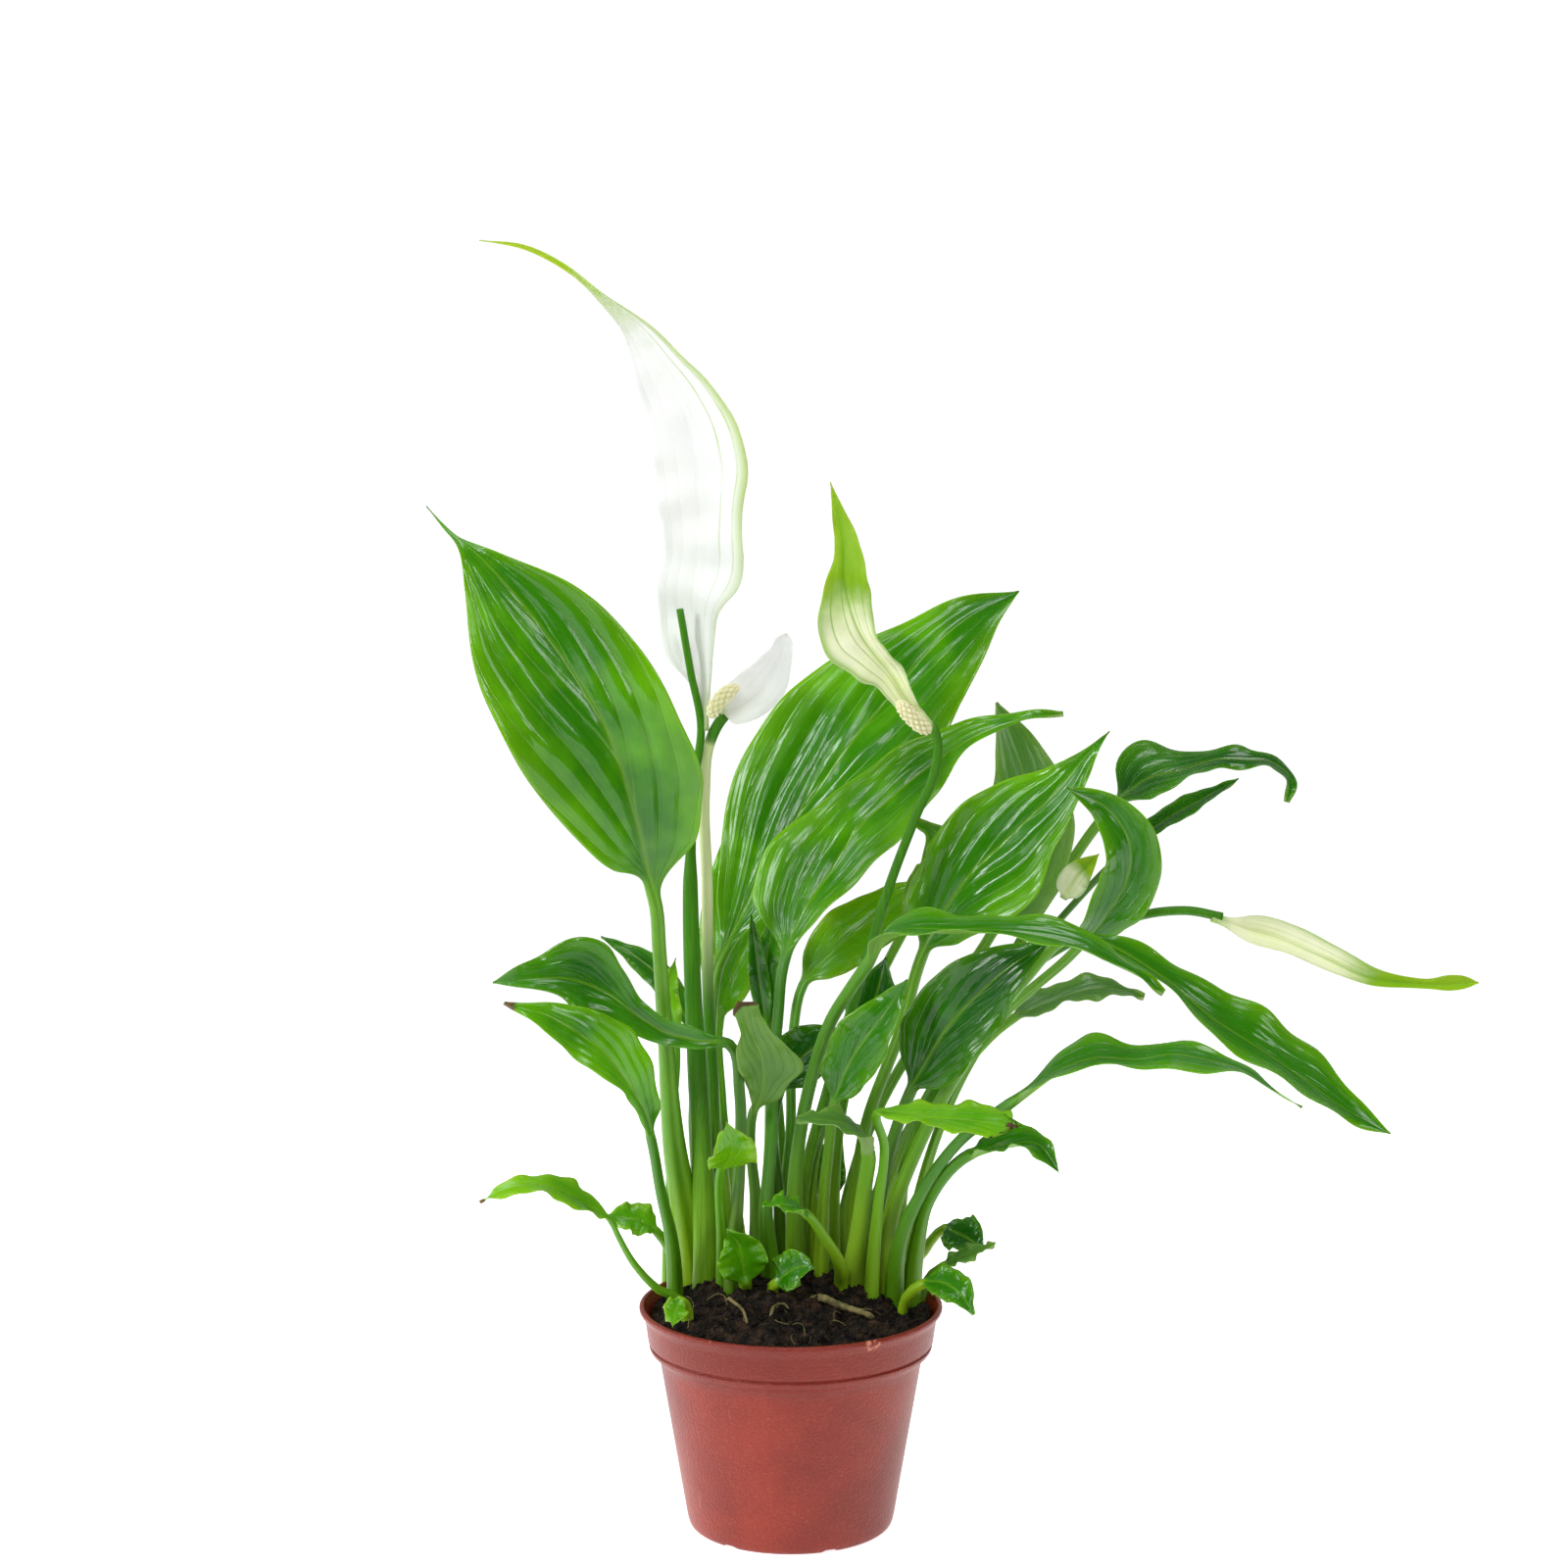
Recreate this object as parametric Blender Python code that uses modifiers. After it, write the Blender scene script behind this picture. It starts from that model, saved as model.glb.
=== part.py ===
"""Peace lily growing in a round nursery pot: pot, soil, roots, leaves on their petioles, and flowers.

Sizes are millimetres, turned into metres as each mesh is made. The origin is the middle of the pot's
underside, +Z is up and -Y is the front. Every leaf, stalk and flower part is a loft along a smooth route.
"""

import bpy
import numpy as np

MM = 0.001

POT_HEIGHT = 90.0
RIM_RADIUS = 60.0
COLLAR_RADIUS = 57.4
COLLAR_FOOT = 70.0
WALL_TOP_RADIUS = 51.5
BASE_RADIUS = 41.0
POT_WALL = 1.4
POT_SIDES = 40
DRAIN_HOLES = 6
DRAIN_RADIUS = 3.6
DRAIN_CIRCLE = 27.0

SOIL_EDGE = 86.0
SOIL_CROWN = 95.0
SOIL_GAP = 0.4
SOIL_SIDES = 36

BLADE_THICK = 1.0
FOOT_GAP = 0.6

# Finish: base colour, roughness
FINISHES = {
    "terracotta_plastic": ((0.42, 0.085, 0.045), 0.45),
    "potting_soil": ((0.018, 0.009, 0.006), 0.95),
    "root_tan": ((0.45, 0.36, 0.20), 0.7),
    "leaf_green": ((0.045, 0.20, 0.012), 0.35),
    "leaf_deep": ((0.012, 0.085, 0.006), 0.35),
    "leaf_olive": ((0.12, 0.24, 0.02), 0.45),
    "leaf_grey": ((0.20, 0.30, 0.12), 0.6),
    "stalk_green": ((0.08, 0.28, 0.02), 0.4),
    "spathe_white": ((0.90, 0.90, 0.84), 0.5),
    "spathe_cream": ((0.72, 0.72, 0.42), 0.5),
    "spadix_cream": ((0.85, 0.78, 0.48), 0.7),
}

# Leaf: finish, foot on the soil (x, y), petiole points, blade points from base to tip,
# full width, petiole radius, direction the upper face looks, fold and curl of each half in degrees,
# rows of points across one face (5 for a broad leaf, 3 for a small one), and where a leaf's outline is
# unusual, the rise and fall of its outline
LEAVES = {
    "leaf_left_broad": (
        "leaf_green", (-39, 26),
        [(-42, 20, 120), (-46, 10, 150), (-49, -4, 198), (-51, -14, 239)],
        [(-53, -20, 261), (-65, -34, 298), (-86, -46, 337), (-105, -50, 366), (-121, -48, 391), (-136, -44, 410)],
        78, 2.6, (0.2, -1.0, 0.2), 12, 6, 5, 0.95, 1.45,
    ),
    "leaf_centre_tall": (
        "leaf_green", (-26, 33),
        [(-28, 36, 134), (-33, 44, 172), (-31, 54, 205)],
        [(-26, 60, 222), (-6, 70, 253), (20, 80, 285), (46, 88, 317), (72, 92, 343), (93, 92, 363)],
        62, 2.6, (-0.4, -1.0, 0.5), 14, 0, 5, 0.75, 0.9,
    ),
    "leaf_centre_glossy": (
        "leaf_green", (-8, 12),
        [(-10, 6, 124), (-8, -3, 152), (-7, -15, 184), (-4, -28, 215)],
        [(-2, -40, 238), (9, -54, 266), (25, -64, 289), (42, -70, 308), (61, -72, 321), (101, -66, 336)],
        43, 2.2, (-0.3, -0.8, 0.8), 16, 0, 5,
    ),
    "leaf_right_upright": (
        "leaf_green", (26, 31),
        [(30, 29, 154), (44, 27, 195)],
        [(56, 24, 215), (70, 20, 236), (87, 14, 260), (103, 10, 282), (115, 6, 301), (124, 4, 318)],
        50, 2.4, (-0.4, -1.0, 0.4), 12, 0, 5,
    ),
    "leaf_back_pale": (
        "leaf_grey", (20, 47),
        [(29, 54, 139), (57, 69, 189)],
        [(72, 78, 210), (94, 86, 239), (112, 92, 263), (117, 96, 281), (108, 98, 298), (92, 100, 320)],
        46, 2.2, (0.2, -1.0, 0.2), 10, 0, 5,
    ),
    "leaf_right_wavy": (
        "leaf_deep", (33, 40),
        [(46, 58, 138), (78, 82, 190), (109, 101, 237)],
        [(136, 112, 267), (148, 115, 280), (165, 117, 285), (186, 117, 287), (204, 115, 285), (210, 111, 274)],
        34, 2.2, (0.0, -0.5, 1.0), 8, 0, 5,
    ),
    "leaf_right_narrow": (
        "leaf_deep", (27, 44),
        [(58, 80, 158), (112, 115, 221)],
        [(145, 128, 252), (160, 130, 263), (175, 130, 272), (189, 130, 280)],
        18, 1.7, (0.0, -0.5, 1.0), 10, 0, 3,
    ),
    "leaf_olive_hooked": (
        "leaf_olive", (47, 25),
        [(58, 26, 150), (82, 18, 200)],
        [(112, 8, 231), (122, 2, 245), (131, -2, 261), (131, -6, 276), (122, -10, 290), (106, -14, 299)],
        28, 2.0, (0.2, -1.0, 0.2), 14, 0, 5,
    ),
    "leaf_centre_arching": (
        "leaf_green", (2, 22),
        [(2, 18, 140), (7, 10, 174), (16, 0, 205), (22, -10, 221)],
        [(29, -18, 234), (46, -34, 247), (71, -46, 253), (100, -54, 250), (122, -58, 241), (140, -60, 228)],
        36, 2.6, (0.0, -0.25, 1.0), 20, 0, 5,
    ),
    "leaf_right_drooping": (
        "leaf_green", (36, 10),
        [(39, 8, 120), (50, 4, 152), (69, -3, 190), (90, -9, 221)],
        [(106, -12, 232), (127, -18, 231), (148, -25, 219), (171, -29, 205), (195, -31, 188), (231, -30, 166)],
        34, 2.6, (0.4, -0.6, 0.9), 14, 0, 5,
    ),
    "leaf_right_lower": (
        "leaf_green", (41, 2),
        [(43, -6, 117), (53, -18, 145), (68, -32, 170)],
        [(80, -41, 181), (102, -56, 199), (125, -66, 203), (149, -72, 203), (170, -74, 198), (191, -74, 187)],
        36, 2.4, (0.0, -0.25, 1.0), 8, 0, 5,
    ),
    "leaf_right_back": (
        "leaf_grey", (40, 23),
        [(51, 38, 148), (71, 54, 174)],
        [(93, 66, 189), (113, 72, 198), (133, 76, 201), (155, 78, 199)],
        28, 2.0, (0.0, -0.4, 1.0), 10, 0, 3,
    ),
    "leaf_front_torn": (
        "leaf_olive", (32, -1),
        [(34, -10, 130), (36, -26, 161)],
        [(40, -38, 173), (54, -56, 178), (70, -69, 178), (87, -76, 177)],
        28, 1.8, (0.0, -0.5, 1.0), 10, 0, 5, 0.7, 0.4,
    ),
    "leaf_front_grey": (
        "leaf_grey", (25, 8),
        [(27, 0, 118), (29, -11, 141)],
        [(30, -22, 157), (24, -34, 169), (14, -44, 175), (2, -50, 177)],
        18, 2.8, (0.0, -0.6, 1.0), 10, 0, 3,
    ),
    "leaf_right_folded": (
        "leaf_green", (48, 8),
        [(50, 2, 114), (54, -11, 135)],
        [(62, -24, 151), (75, -36, 162), (89, -46, 164), (102, -52, 156)],
        28, 2.4, (0.0, -0.5, 1.0), 24, 0, 3,
    ),
    "leaf_left_folded": (
        "leaf_deep", (-45, 18),
        [(-48, 10, 123), (-52, 3, 149), (-53, -5, 175)],
        [(-53, -12, 191), (-60, -22, 207), (-73, -29, 219), (-91, -33, 227), (-114, -34, 231)],
        32, 2.2, (0.1, -0.6, 0.9), 32, 0, 5,
    ),
    "leaf_left_lower": (
        "leaf_olive", (-46, 6),
        [(-48, 0, 114), (-52, -9, 138), (-56, -22, 164)],
        [(-61, -32, 183), (-71, -45, 196), (-85, -54, 207), (-108, -59, 220)],
        34, 2.0, (0.0, -0.8, 0.7), 12, 0, 5,
    ),
    "leaf_hanging_grey": (
        "leaf_grey", (-14, 24),
        [(-14, 18, 126), (-16, 8, 156)],
        [(-16, 0, 178), (-12, -6, 191), (-15, -13, 203), (-23, -20, 216)],
        26, 1.9, (0.2, -1.0, 0.3), 16, 0, 3,
    ),
    "leaf_middle_dark": (
        "leaf_deep", (-4, 32),
        [(-5, 32, 128), (-7, 33, 152)],
        [(-4, 34, 168), (2, 35, 179), (11, 35, 187), (21, 35, 193)],
        24, 1.8, (0.0, -1.0, 0.5), 10, 0, 3,
    ),
    "leaf_middle_mid": (
        "leaf_green", (12, 16),
        [(13, 15, 128), (15, 10, 150)],
        [(17, 3, 170), (23, -6, 189), (33, -15, 206), (45, -20, 225)],
        24, 2.0, (-0.3, -1.0, 0.3), 10, 0, 3,
    ),
    "leaf_middle_broad": (
        "leaf_deep", (30, 20),
        [(34, 16, 122), (40, 8, 153)],
        [(47, -1, 176), (53, -8, 190), (61, -15, 205), (72, -21, 219), (85, -27, 232), (99, -31, 242)],
        36, 2.4, (-0.3, -1.0, 0.4), 8, 0, 5,
    ),
    "leaf_middle_shade": (
        "leaf_deep", (8, 36),
        [(10, 36, 141), (16, 36, 165)],
        [(25, 36, 188), (33, 36, 203), (38, 37, 222)],
        20, 2.0, (-0.2, -1.0, 0.3), 10, 0, 3,
    ),
    "leaf_olive_behind": (
        "leaf_olive", (-5, 40),
        [(0, 44, 150), (1, 51, 188)],
        [(5, 54, 207), (17, 55, 221), (37, 56, 235), (62, 56, 251)],
        26, 2.0, (-0.3, -1.0, 0.4), 8, 0, 3,
    ),
    "leaf_back_yellow": (
        "leaf_olive", (-20, 42),
        [(-28, 60, 158)],
        [(-29, 72, 189), (-25, 76, 205), (-17, 80, 221), (-7, 82, 235)],
        20, 1.8, (0.1, -1.0, 0.2), 8, 0, 3,
    ),
    "leaf_back_spear": (
        "leaf_deep", (-12, 40),
        [(-9, 46, 150)],
        [(-10, 48, 190), (-13, 48, 213), (-16, 47, 238)],
        9, 1.6, (0.0, -1.0, 0.2), 20, 0, 3,
    ),
    "leaf_back_green": (
        "leaf_green", (-2, 48),
        [(-4, 50, 150)],
        [(-8, 50, 190), (-10, 50, 214), (-6, 50, 240)],
        13, 1.6, (0.0, -1.0, 0.2), 14, 0, 3,
    ),
    "leaf_centre_hook": (
        "leaf_olive", (17, 36),
        [(22, 41, 165), (37, 46, 214)],
        [(46, 45, 232), (54, 42, 248), (60, 37, 262), (58, 31, 273), (48, 27, 279)],
        20, 1.9, (0.2, -1.0, 0.2), 14, 0, 3,
    ),
    "leaf_front_small": (
        "leaf_olive", (-27, 6),
        [(-27, -3, 117), (-28, -14, 140)],
        [(-27, -24, 151), (-23, -33, 160), (-25, -40, 173)],
        20, 1.7, (0.2, -1.0, 0.5), 12, 0, 3,
    ),
    "leaf_front_tongue": (
        "leaf_green", (20, 4),
        [(20, -3, 104), (13, -18, 122)],
        [(6, -28, 134), (-2, -36, 140), (-11, -40, 141)],
        13, 1.8, (0.0, -0.5, 1.0), 10, 0, 3,
    ),
    "leaf_base_upright": (
        "leaf_green", (-18, -4),
        [(-18, -5, 98)],
        [(-18, -6, 101), (-19, -8, 107), (-20, -11, 114), (-24, -14, 118)],
        15, 1.8, (0.1, -1.0, 0.3), 10, 0, 3,
    ),
    "leaf_base_flat": (
        "leaf_green", (-7, -4),
        [(-7, -7, 98)],
        [(-5, -10, 101), (-2, -14, 106), (3, -18, 110), (9, -21, 111)],
        14, 1.6, (-0.4, -1.0, 0.6), 10, 0, 3,
    ),
    "leaf_left_low": (
        "leaf_green", (-44, -4),
        [(-53, -9, 98), (-64, -15, 109), (-72, -22, 125)],
        [(-79, -30, 135), (-88, -38, 142), (-100, -44, 146), (-119, -48, 144)],
        22, 2.0, (0.0, -0.6, 1.0), 14, 0, 3,
    ),
    "leaf_left_stub": (
        "leaf_deep", (-44, 30),
        [(-50, 28, 106)],
        [(-54, 26, 112), (-62, 25, 117), (-74, 23, 120)],
        10, 1.6, (0.0, -0.6, 1.0), 12, 0, 3,
    ),
    "leaf_left_scrap": (
        "leaf_olive", (-40, -22),
        [(-42, -28, 99)],
        [(-43, -31, 100), (-45, -37, 97), (-46, -43, 93)],
        10, 1.3, (0.2, -1.0, 0.6), 8, 0, 3,
    ),
    "leaf_right_dark_low": (
        "leaf_deep", (42, 33),
        [(53, 32, 101), (59, 30, 110)],
        [(62, 27, 113), (68, 22, 112), (77, 15, 108)],
        18, 1.5, (0.3, -1.0, 0.6), 10, 0, 3,
    ),
    "leaf_right_thin": (
        "leaf_grey", (52, 14),
        [(57, 12, 99)],
        [(61, 11, 102), (70, 9, 107), (81, 7, 113)],
        8, 1.2, (0.0, -0.7, 1.0), 10, 0, 3,
    ),
    "leaf_right_rim": (
        "leaf_green", (44, -8),
        [(48, -12, 99)],
        [(52, -14, 102), (58, -19, 105), (65, -24, 102), (71, -27, 93)],
        18, 1.4, (0.0, -0.9, 0.8), 8, 0, 3,
    ),
    "leaf_inner_lower": (
        "leaf_deep", (14, 48),
        [(16, 50, 110)],
        [(16, 51, 118), (15, 52, 133), (21, 53, 145)],
        16, 1.6, (0.1, -1.0, 0.2), 10, 0, 3,
    ),
    "leaf_left_inner": (
        "leaf_deep", (-36, 38),
        [(-40, 46, 150)],
        [(-41, 50, 190), (-52, 54, 209), (-64, 57, 219), (-77, 59, 226)],
        12, 1.5, (0.0, -1.0, 0.6), 14, 0, 3,
    ),
    "leaf_left_curl": (
        "leaf_olive", (-50, 36),
        [(-48, 36, 150)],
        [(-46, 36, 190), (-49, 36, 208), (-46, 36, 222)],
        9, 1.4, (0.2, -1.0, 0.2), 14, 0, 3,
    ),
    "leaf_back_strip": (
        "leaf_green", (-28, 44),
        [(-31, 62, 150)],
        [(-32, 82, 195), (-31, 90, 230), (-28, 95, 260)],
        13, 1.6, (0.0, -1.0, 0.2), 12, 0, 3,
    ),
}

# Flower stalk: foot on the soil, points, radius at the foot and under the flower
STALKS = {
    "stalk_tall": ((-34, 14), [(-35, 14, 138), (-37, 10, 180), (-39, 8, 228), (-39, 8, 276), (-37, 8, 302),
                               (-34, 8, 316)], 3.6, 2.3),
    "stalk_horn": ((-30, 24), [(-32, 24, 170), (-33, 21, 215), (-33, 16, 256), (-32, 11, 292), (-29, 7, 311)],
                   2.2, 1.9),
    "stalk_middle": ((4, 30), [(6, 30, 134), (15, 26, 171), (24, 20, 204), (32, 15, 233), (39, 11, 257),
                               (49, 7, 285), (56, 5, 303), (57, 4, 317)], 2.2, 2.0),
    "stalk_bud": ((43, 16), [(48, 18, 150), (69, 20, 189), (98, 22, 223), (125, 24, 237), (146, 24, 243),
                             (171, 24, 243)], 2.4, 2.1),
}

# Spathe: finish, route, full width, direction the open face looks, fold, curl, half width at its foot
SPATHES = {
    "spathe_tall": ("spathe_white", [(-33, 8, 320), (-35, 8, 348), (-34, 8, 377), (-31, 8, 405),
                                     (-36, 8, 436), (-50, 8, 464), (-71, 8, 486), (-94, 8, 499), (-119, 8, 507)],
                    46, (-0.5, -1.0, 0.1), 10, 40, 2.6),
    "spathe_horn": ("spathe_white", [(-27, 6, 314), (-18, 4, 323), (-9, 2, 333), (-5, 1, 345), (-3, 1, 358)],
                    28, (-0.6, -0.6, 0.8), 30, 30, 2.4),
    "spathe_middle": ("spathe_cream", [(55, 3, 322), (41, -2, 339), (24, -8, 357), (21, -12, 376), (20, -12, 395),
                                       (15, -8, 416)], 30, (-0.2, -1.0, -0.1), 22, 20, 2.4),
    "spathe_bud": ("spathe_cream", [(174, 24, 241), (192, 24, 233), (215, 22, 223), (238, 20, 215),
                                    (254, 18, 215), (272, 16, 216)], 19, (0.3, -0.4, 1.0), 40, 60, 2.3),
    "spathe_hidden": ("spathe_cream", [(104, 26, 250), (110, 26, 260), (121, 26, 268)],
                      14, (0.0, -1.0, 0.3), 20, 20, 1.6),
}

# Spadix: route and radius
SPADICES = {
    "spadix_horn": ([(-30, -3, 316), (-28, -5, 324), (-24, -6, 331), (-21, -7, 336)], 3.7),
    "spadix_middle": ([(51, -7, 320), (46, -10, 327), (39, -12, 333), (35, -13, 336)], 3.6),
}

# Root: points and radius, lying on the soil
ROOTS = {
    "rhizome": ([(8, -14, 96.6), (13, -18, 96.2), (18, -23, 95.2), (24, -27, 94.2), (32, -28, 93.8)], 1.5),
    "root_left": ([(-25, -16, 97.0), (-23, -22, 96.2), (-19, -28, 94.6), (-17, -33, 93.2)], 0.7),
    "root_middle": ([(-8, -30, 94.2), (-6, -26, 95.4), (-1, -24, 96.4)], 0.6),
}


def clear_scene():
    for item in list(bpy.data.objects):
        bpy.data.objects.remove(item, do_unlink=True)


def new_collection(name, hidden):
    folder = bpy.data.collections.new(name)
    folder.hide_render = hidden
    bpy.context.scene.collection.children.link(folder)
    return folder


def new_finish(name, colour, roughness):
    finish = bpy.data.materials.new(name)
    finish.use_nodes = True
    shader = finish.node_tree.nodes["Principled BSDF"]
    shader.inputs["Base Color"].default_value = (*colour, 1.0)
    shader.inputs["Roughness"].default_value = roughness
    shader.inputs["Metallic"].default_value = 0.0
    return finish


def add_object(name, data, folder, finish):
    item = bpy.data.objects.new(name, data)
    folder.objects.link(item)
    if finish is not None:
        data.materials.append(finish)
    return item


def spun(name, profile, sides, folder, finish):
    """A solid of revolution: the profile is (radius, height) from the axis, down the outside, to the axis."""
    mesh = bpy.data.meshes.new(name)
    corners = [(r * MM, 0.0, z * MM) for r, z in profile]
    edges = [(i, i + 1) for i in range(len(corners) - 1)]
    mesh.from_pydata(corners, edges, [])
    item = add_object(name, mesh, folder, finish)
    screw = item.modifiers.new("spin", "SCREW")
    screw.axis = "Z"
    screw.steps = sides
    screw.render_steps = sides
    screw.use_merge_vertices = True
    screw.merge_threshold = 0.00005
    return item


def soil_height(x, y):
    """Height of the mounded soil, a shallow paraboloid."""
    reach = (x * x + y * y) / (RIM_RADIUS - 4.0) ** 2
    return SOIL_CROWN + (SOIL_EDGE - SOIL_CROWN) * min(reach, 1.0)


def smooth_route(points, stations):
    """Cubic curve through the points, read at stations from 0 to 1 by distance."""
    points = np.array(points, float)
    along = np.concatenate([[0.0], np.cumsum(np.linalg.norm(np.diff(points, axis=0), axis=1))])
    slopes = np.gradient(points, along, axis=0)
    where = np.asarray(stations) * along[-1]
    left = np.clip(np.searchsorted(along, where, side="right") - 1, 0, len(points) - 2)
    step = (along[left + 1] - along[left])[:, None]
    t = (where - along[left])[:, None] / step
    return (
        (2 * t**3 - 3 * t**2 + 1) * points[left]
        + (t**3 - 2 * t**2 + t) * step * slopes[left]
        + (3 * t**2 - 2 * t**3) * points[left + 1]
        + (t**3 - t**2) * step * slopes[left + 1]
    )


def carried_frames(route, look, anchor):
    """Tangents, and upper directions carried along the route without twist from the anchor ring."""
    tangents = np.gradient(route, axis=0)
    tangents /= np.linalg.norm(tangents, axis=1)[:, None]
    uppers = np.zeros_like(route)
    uppers[anchor] = look
    order = list(range(anchor, len(route))), list(range(anchor, -1, -1))
    for run in order:
        upper = np.array(look, float)
        for i in run:
            upper = upper - upper.dot(tangents[i]) * tangents[i]
            upper /= np.linalg.norm(upper)
            uppers[i] = upper
    return tangents, uppers


def rings_to_mesh(name, rings):
    """Closed mesh from rings of points, flat at both ends."""
    count, size, _ = rings.shape
    faces = []
    for i in range(count - 1):
        for j in range(size):
            k = (j + 1) % size
            faces.append((i * size + j, i * size + k, (i + 1) * size + k, (i + 1) * size + j))
    faces.append(tuple(range(size - 1, -1, -1)))
    faces.append(tuple((count - 1) * size + j for j in range(size)))
    mesh = bpy.data.meshes.new(name)
    mesh.from_pydata([tuple(p) for p in rings.reshape(-1, 3) * MM], [], faces)
    mesh.update()
    return mesh


def blade_section(half_width, fold, curl, across, thick):
    """Upper and lower points of one section: each half leaves the rib at the fold and bends by the curl."""
    u = np.linspace(-1.0, 1.0, across)
    bend = np.radians(curl) if abs(curl) > 1e-3 else 1e-4
    start = np.radians(fold)
    heading = start + bend * np.abs(u)
    side = np.sign(u) * half_width * (np.sin(heading) - np.sin(start)) / bend
    rise = half_width * (np.cos(start) - np.cos(heading)) / bend
    lean = np.where(u == 0, 0.0, np.sin(heading) * np.sign(u))
    upper = np.stack([side - lean * thick / 2, rise + np.cos(heading) * thick / 2], 1)
    lower = np.stack([side + lean * thick / 2, rise - np.cos(heading) * thick / 2], 1)
    return np.concatenate([upper, lower[::-1]])


def round_section(radius, across):
    """The same count of points as a blade section, set round a circle."""
    turn = np.radians(np.linspace(-74.0, 74.0, across))
    upper = np.stack([radius * np.sin(turn), radius * np.cos(turn)], 1)
    lower = np.stack([radius * np.sin(turn), -radius * np.cos(turn)], 1)
    return np.concatenate([upper, lower[::-1]])


def width_at(v, rise, fall):
    """Outline of a blade from 0 at its foot through 1 at its widest to 0 at the tip."""
    peak = rise / (rise + fall)
    return (v / peak) ** rise * ((1 - v) / (1 - peak)) ** fall


def loft_blade(name, stem, blade, width, radius, look, fold, curl, across, rise=0.75, fall=1.05):
    """A stem that opens into a blade, as one closed loft."""
    points = np.array(list(stem) + list(blade), float)
    lengths = np.concatenate([[0.0], np.cumsum(np.linalg.norm(np.diff(points, axis=0), axis=1))])
    opening = lengths[len(stem)] / lengths[-1] if stem else 0.0
    blade_rings = 10 if across == 5 else 8
    stations = np.linspace(opening, 1.0, blade_rings) if not stem else np.concatenate(
        [np.linspace(0.0, opening, 2 + len(stem))[:-1], np.linspace(opening, 1.0, blade_rings)]
    )
    anchor = len(stations) - blade_rings // 2
    route = smooth_route(points, stations)
    tangents, uppers = carried_frames(route, look, anchor)
    sides = np.cross(tangents, uppers)
    rings = []
    for i, station in enumerate(stations):
        v = (station - opening) / (1.0 - opening)
        if v <= 0.0:
            section = round_section(radius, across)
        else:
            half = max(width / 2 * width_at(min(v, 0.995), rise, fall), 0.5)
            opened = min(v / 0.14, 1.0)
            thick = BLADE_THICK * (1.0 - 0.35 * v)
            flat = blade_section(max(half, radius * (1 - v)), fold, curl, across, thick)
            section = opened * flat + (1 - opened) * round_section(radius, across)
        rings.append(route[i] + section[:, :1] * sides[i] + section[:, 1:] * uppers[i])
    return rings_to_mesh(name, np.array(rings))


def tube(name, points, radii, folder, finish, sides_step=2):
    """A round stalk along the points, with flat ends."""
    curve = bpy.data.curves.new(name, "CURVE")
    curve.dimensions = "3D"
    curve.fill_mode = "FULL"
    curve.bevel_depth = MM
    curve.bevel_resolution = sides_step
    curve.use_fill_caps = True
    spline = curve.splines.new("POLY")
    spline.points.add(len(points) - 1)
    for target, point, radius in zip(spline.points, points, radii):
        target.co = (*(np.array(point) * MM), 1.0)
        target.radius = radius
    return add_object(name, curve, folder, finish)


def drill(item, cutter):
    cut = item.modifiers.new("drill", "BOOLEAN")
    cut.operation = "DIFFERENCE"
    cut.solver = "EXACT"
    cut.object = cutter


def build_pot(folder, cutters, finish):
    inner_floor = POT_WALL
    outside = [
        (RIM_RADIUS - 1.8, POT_HEIGHT - 0.6),
        (RIM_RADIUS - 0.8, POT_HEIGHT),
        (RIM_RADIUS, POT_HEIGHT - 0.9),
        (RIM_RADIUS - 0.2, POT_HEIGHT - 2.4),
        (COLLAR_RADIUS, POT_HEIGHT - 5.0),
        (COLLAR_RADIUS - 1.4, COLLAR_FOOT + 4.5),
        (COLLAR_RADIUS - 3.0, COLLAR_FOOT + 1.0),
        (WALL_TOP_RADIUS + 0.9, COLLAR_FOOT - 1.2),
        (WALL_TOP_RADIUS, COLLAR_FOOT - 4.0),
        (BASE_RADIUS + 0.6, 4.0),
        (BASE_RADIUS - 0.6, 0.9),
        (BASE_RADIUS - 2.2, 0.0),
        (0.0, 0.0),
    ]
    inside = [
        (0.0, inner_floor),
        (BASE_RADIUS - 2.6, inner_floor),
        (BASE_RADIUS - 1.0, 4.6),
        (WALL_TOP_RADIUS - POT_WALL - 0.3, COLLAR_FOOT - 3.0),
        (COLLAR_RADIUS - 3.0 - POT_WALL, COLLAR_FOOT + 3.2),
        (COLLAR_RADIUS - POT_WALL, POT_HEIGHT - 4.4),
    ]
    pot = spun("pot", inside + outside, POT_SIDES, folder, finish)
    bottom = bpy.data.meshes.new("drain_cutter")
    item = add_object("drain_cutter", bottom, cutters, None)
    item.display_type = "WIRE"
    item.hide_render = True
    corners = []
    faces = []
    around = 10
    for hole in range(DRAIN_HOLES):
        turn = 2 * np.pi * (hole + 0.5) / DRAIN_HOLES
        centre = np.array([np.cos(turn), np.sin(turn)]) * DRAIN_CIRCLE
        first = len(corners)
        for z in (-2.0, POT_WALL + 2.0):
            for k in range(around):
                a = 2 * np.pi * k / around
                corners.append(((centre[0] + DRAIN_RADIUS * np.cos(a)) * MM,
                                (centre[1] + DRAIN_RADIUS * np.sin(a)) * MM, z * MM))
        for k in range(around):
            n = (k + 1) % around
            faces.append((first + k, first + n, first + around + n, first + around + k))
        faces.append(tuple(first + k for k in range(around - 1, -1, -1)))
        faces.append(tuple(first + around + k for k in range(around)))
    bottom.from_pydata(corners, [], faces)
    bottom.update()
    drill(pot, item)
    return pot


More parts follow.
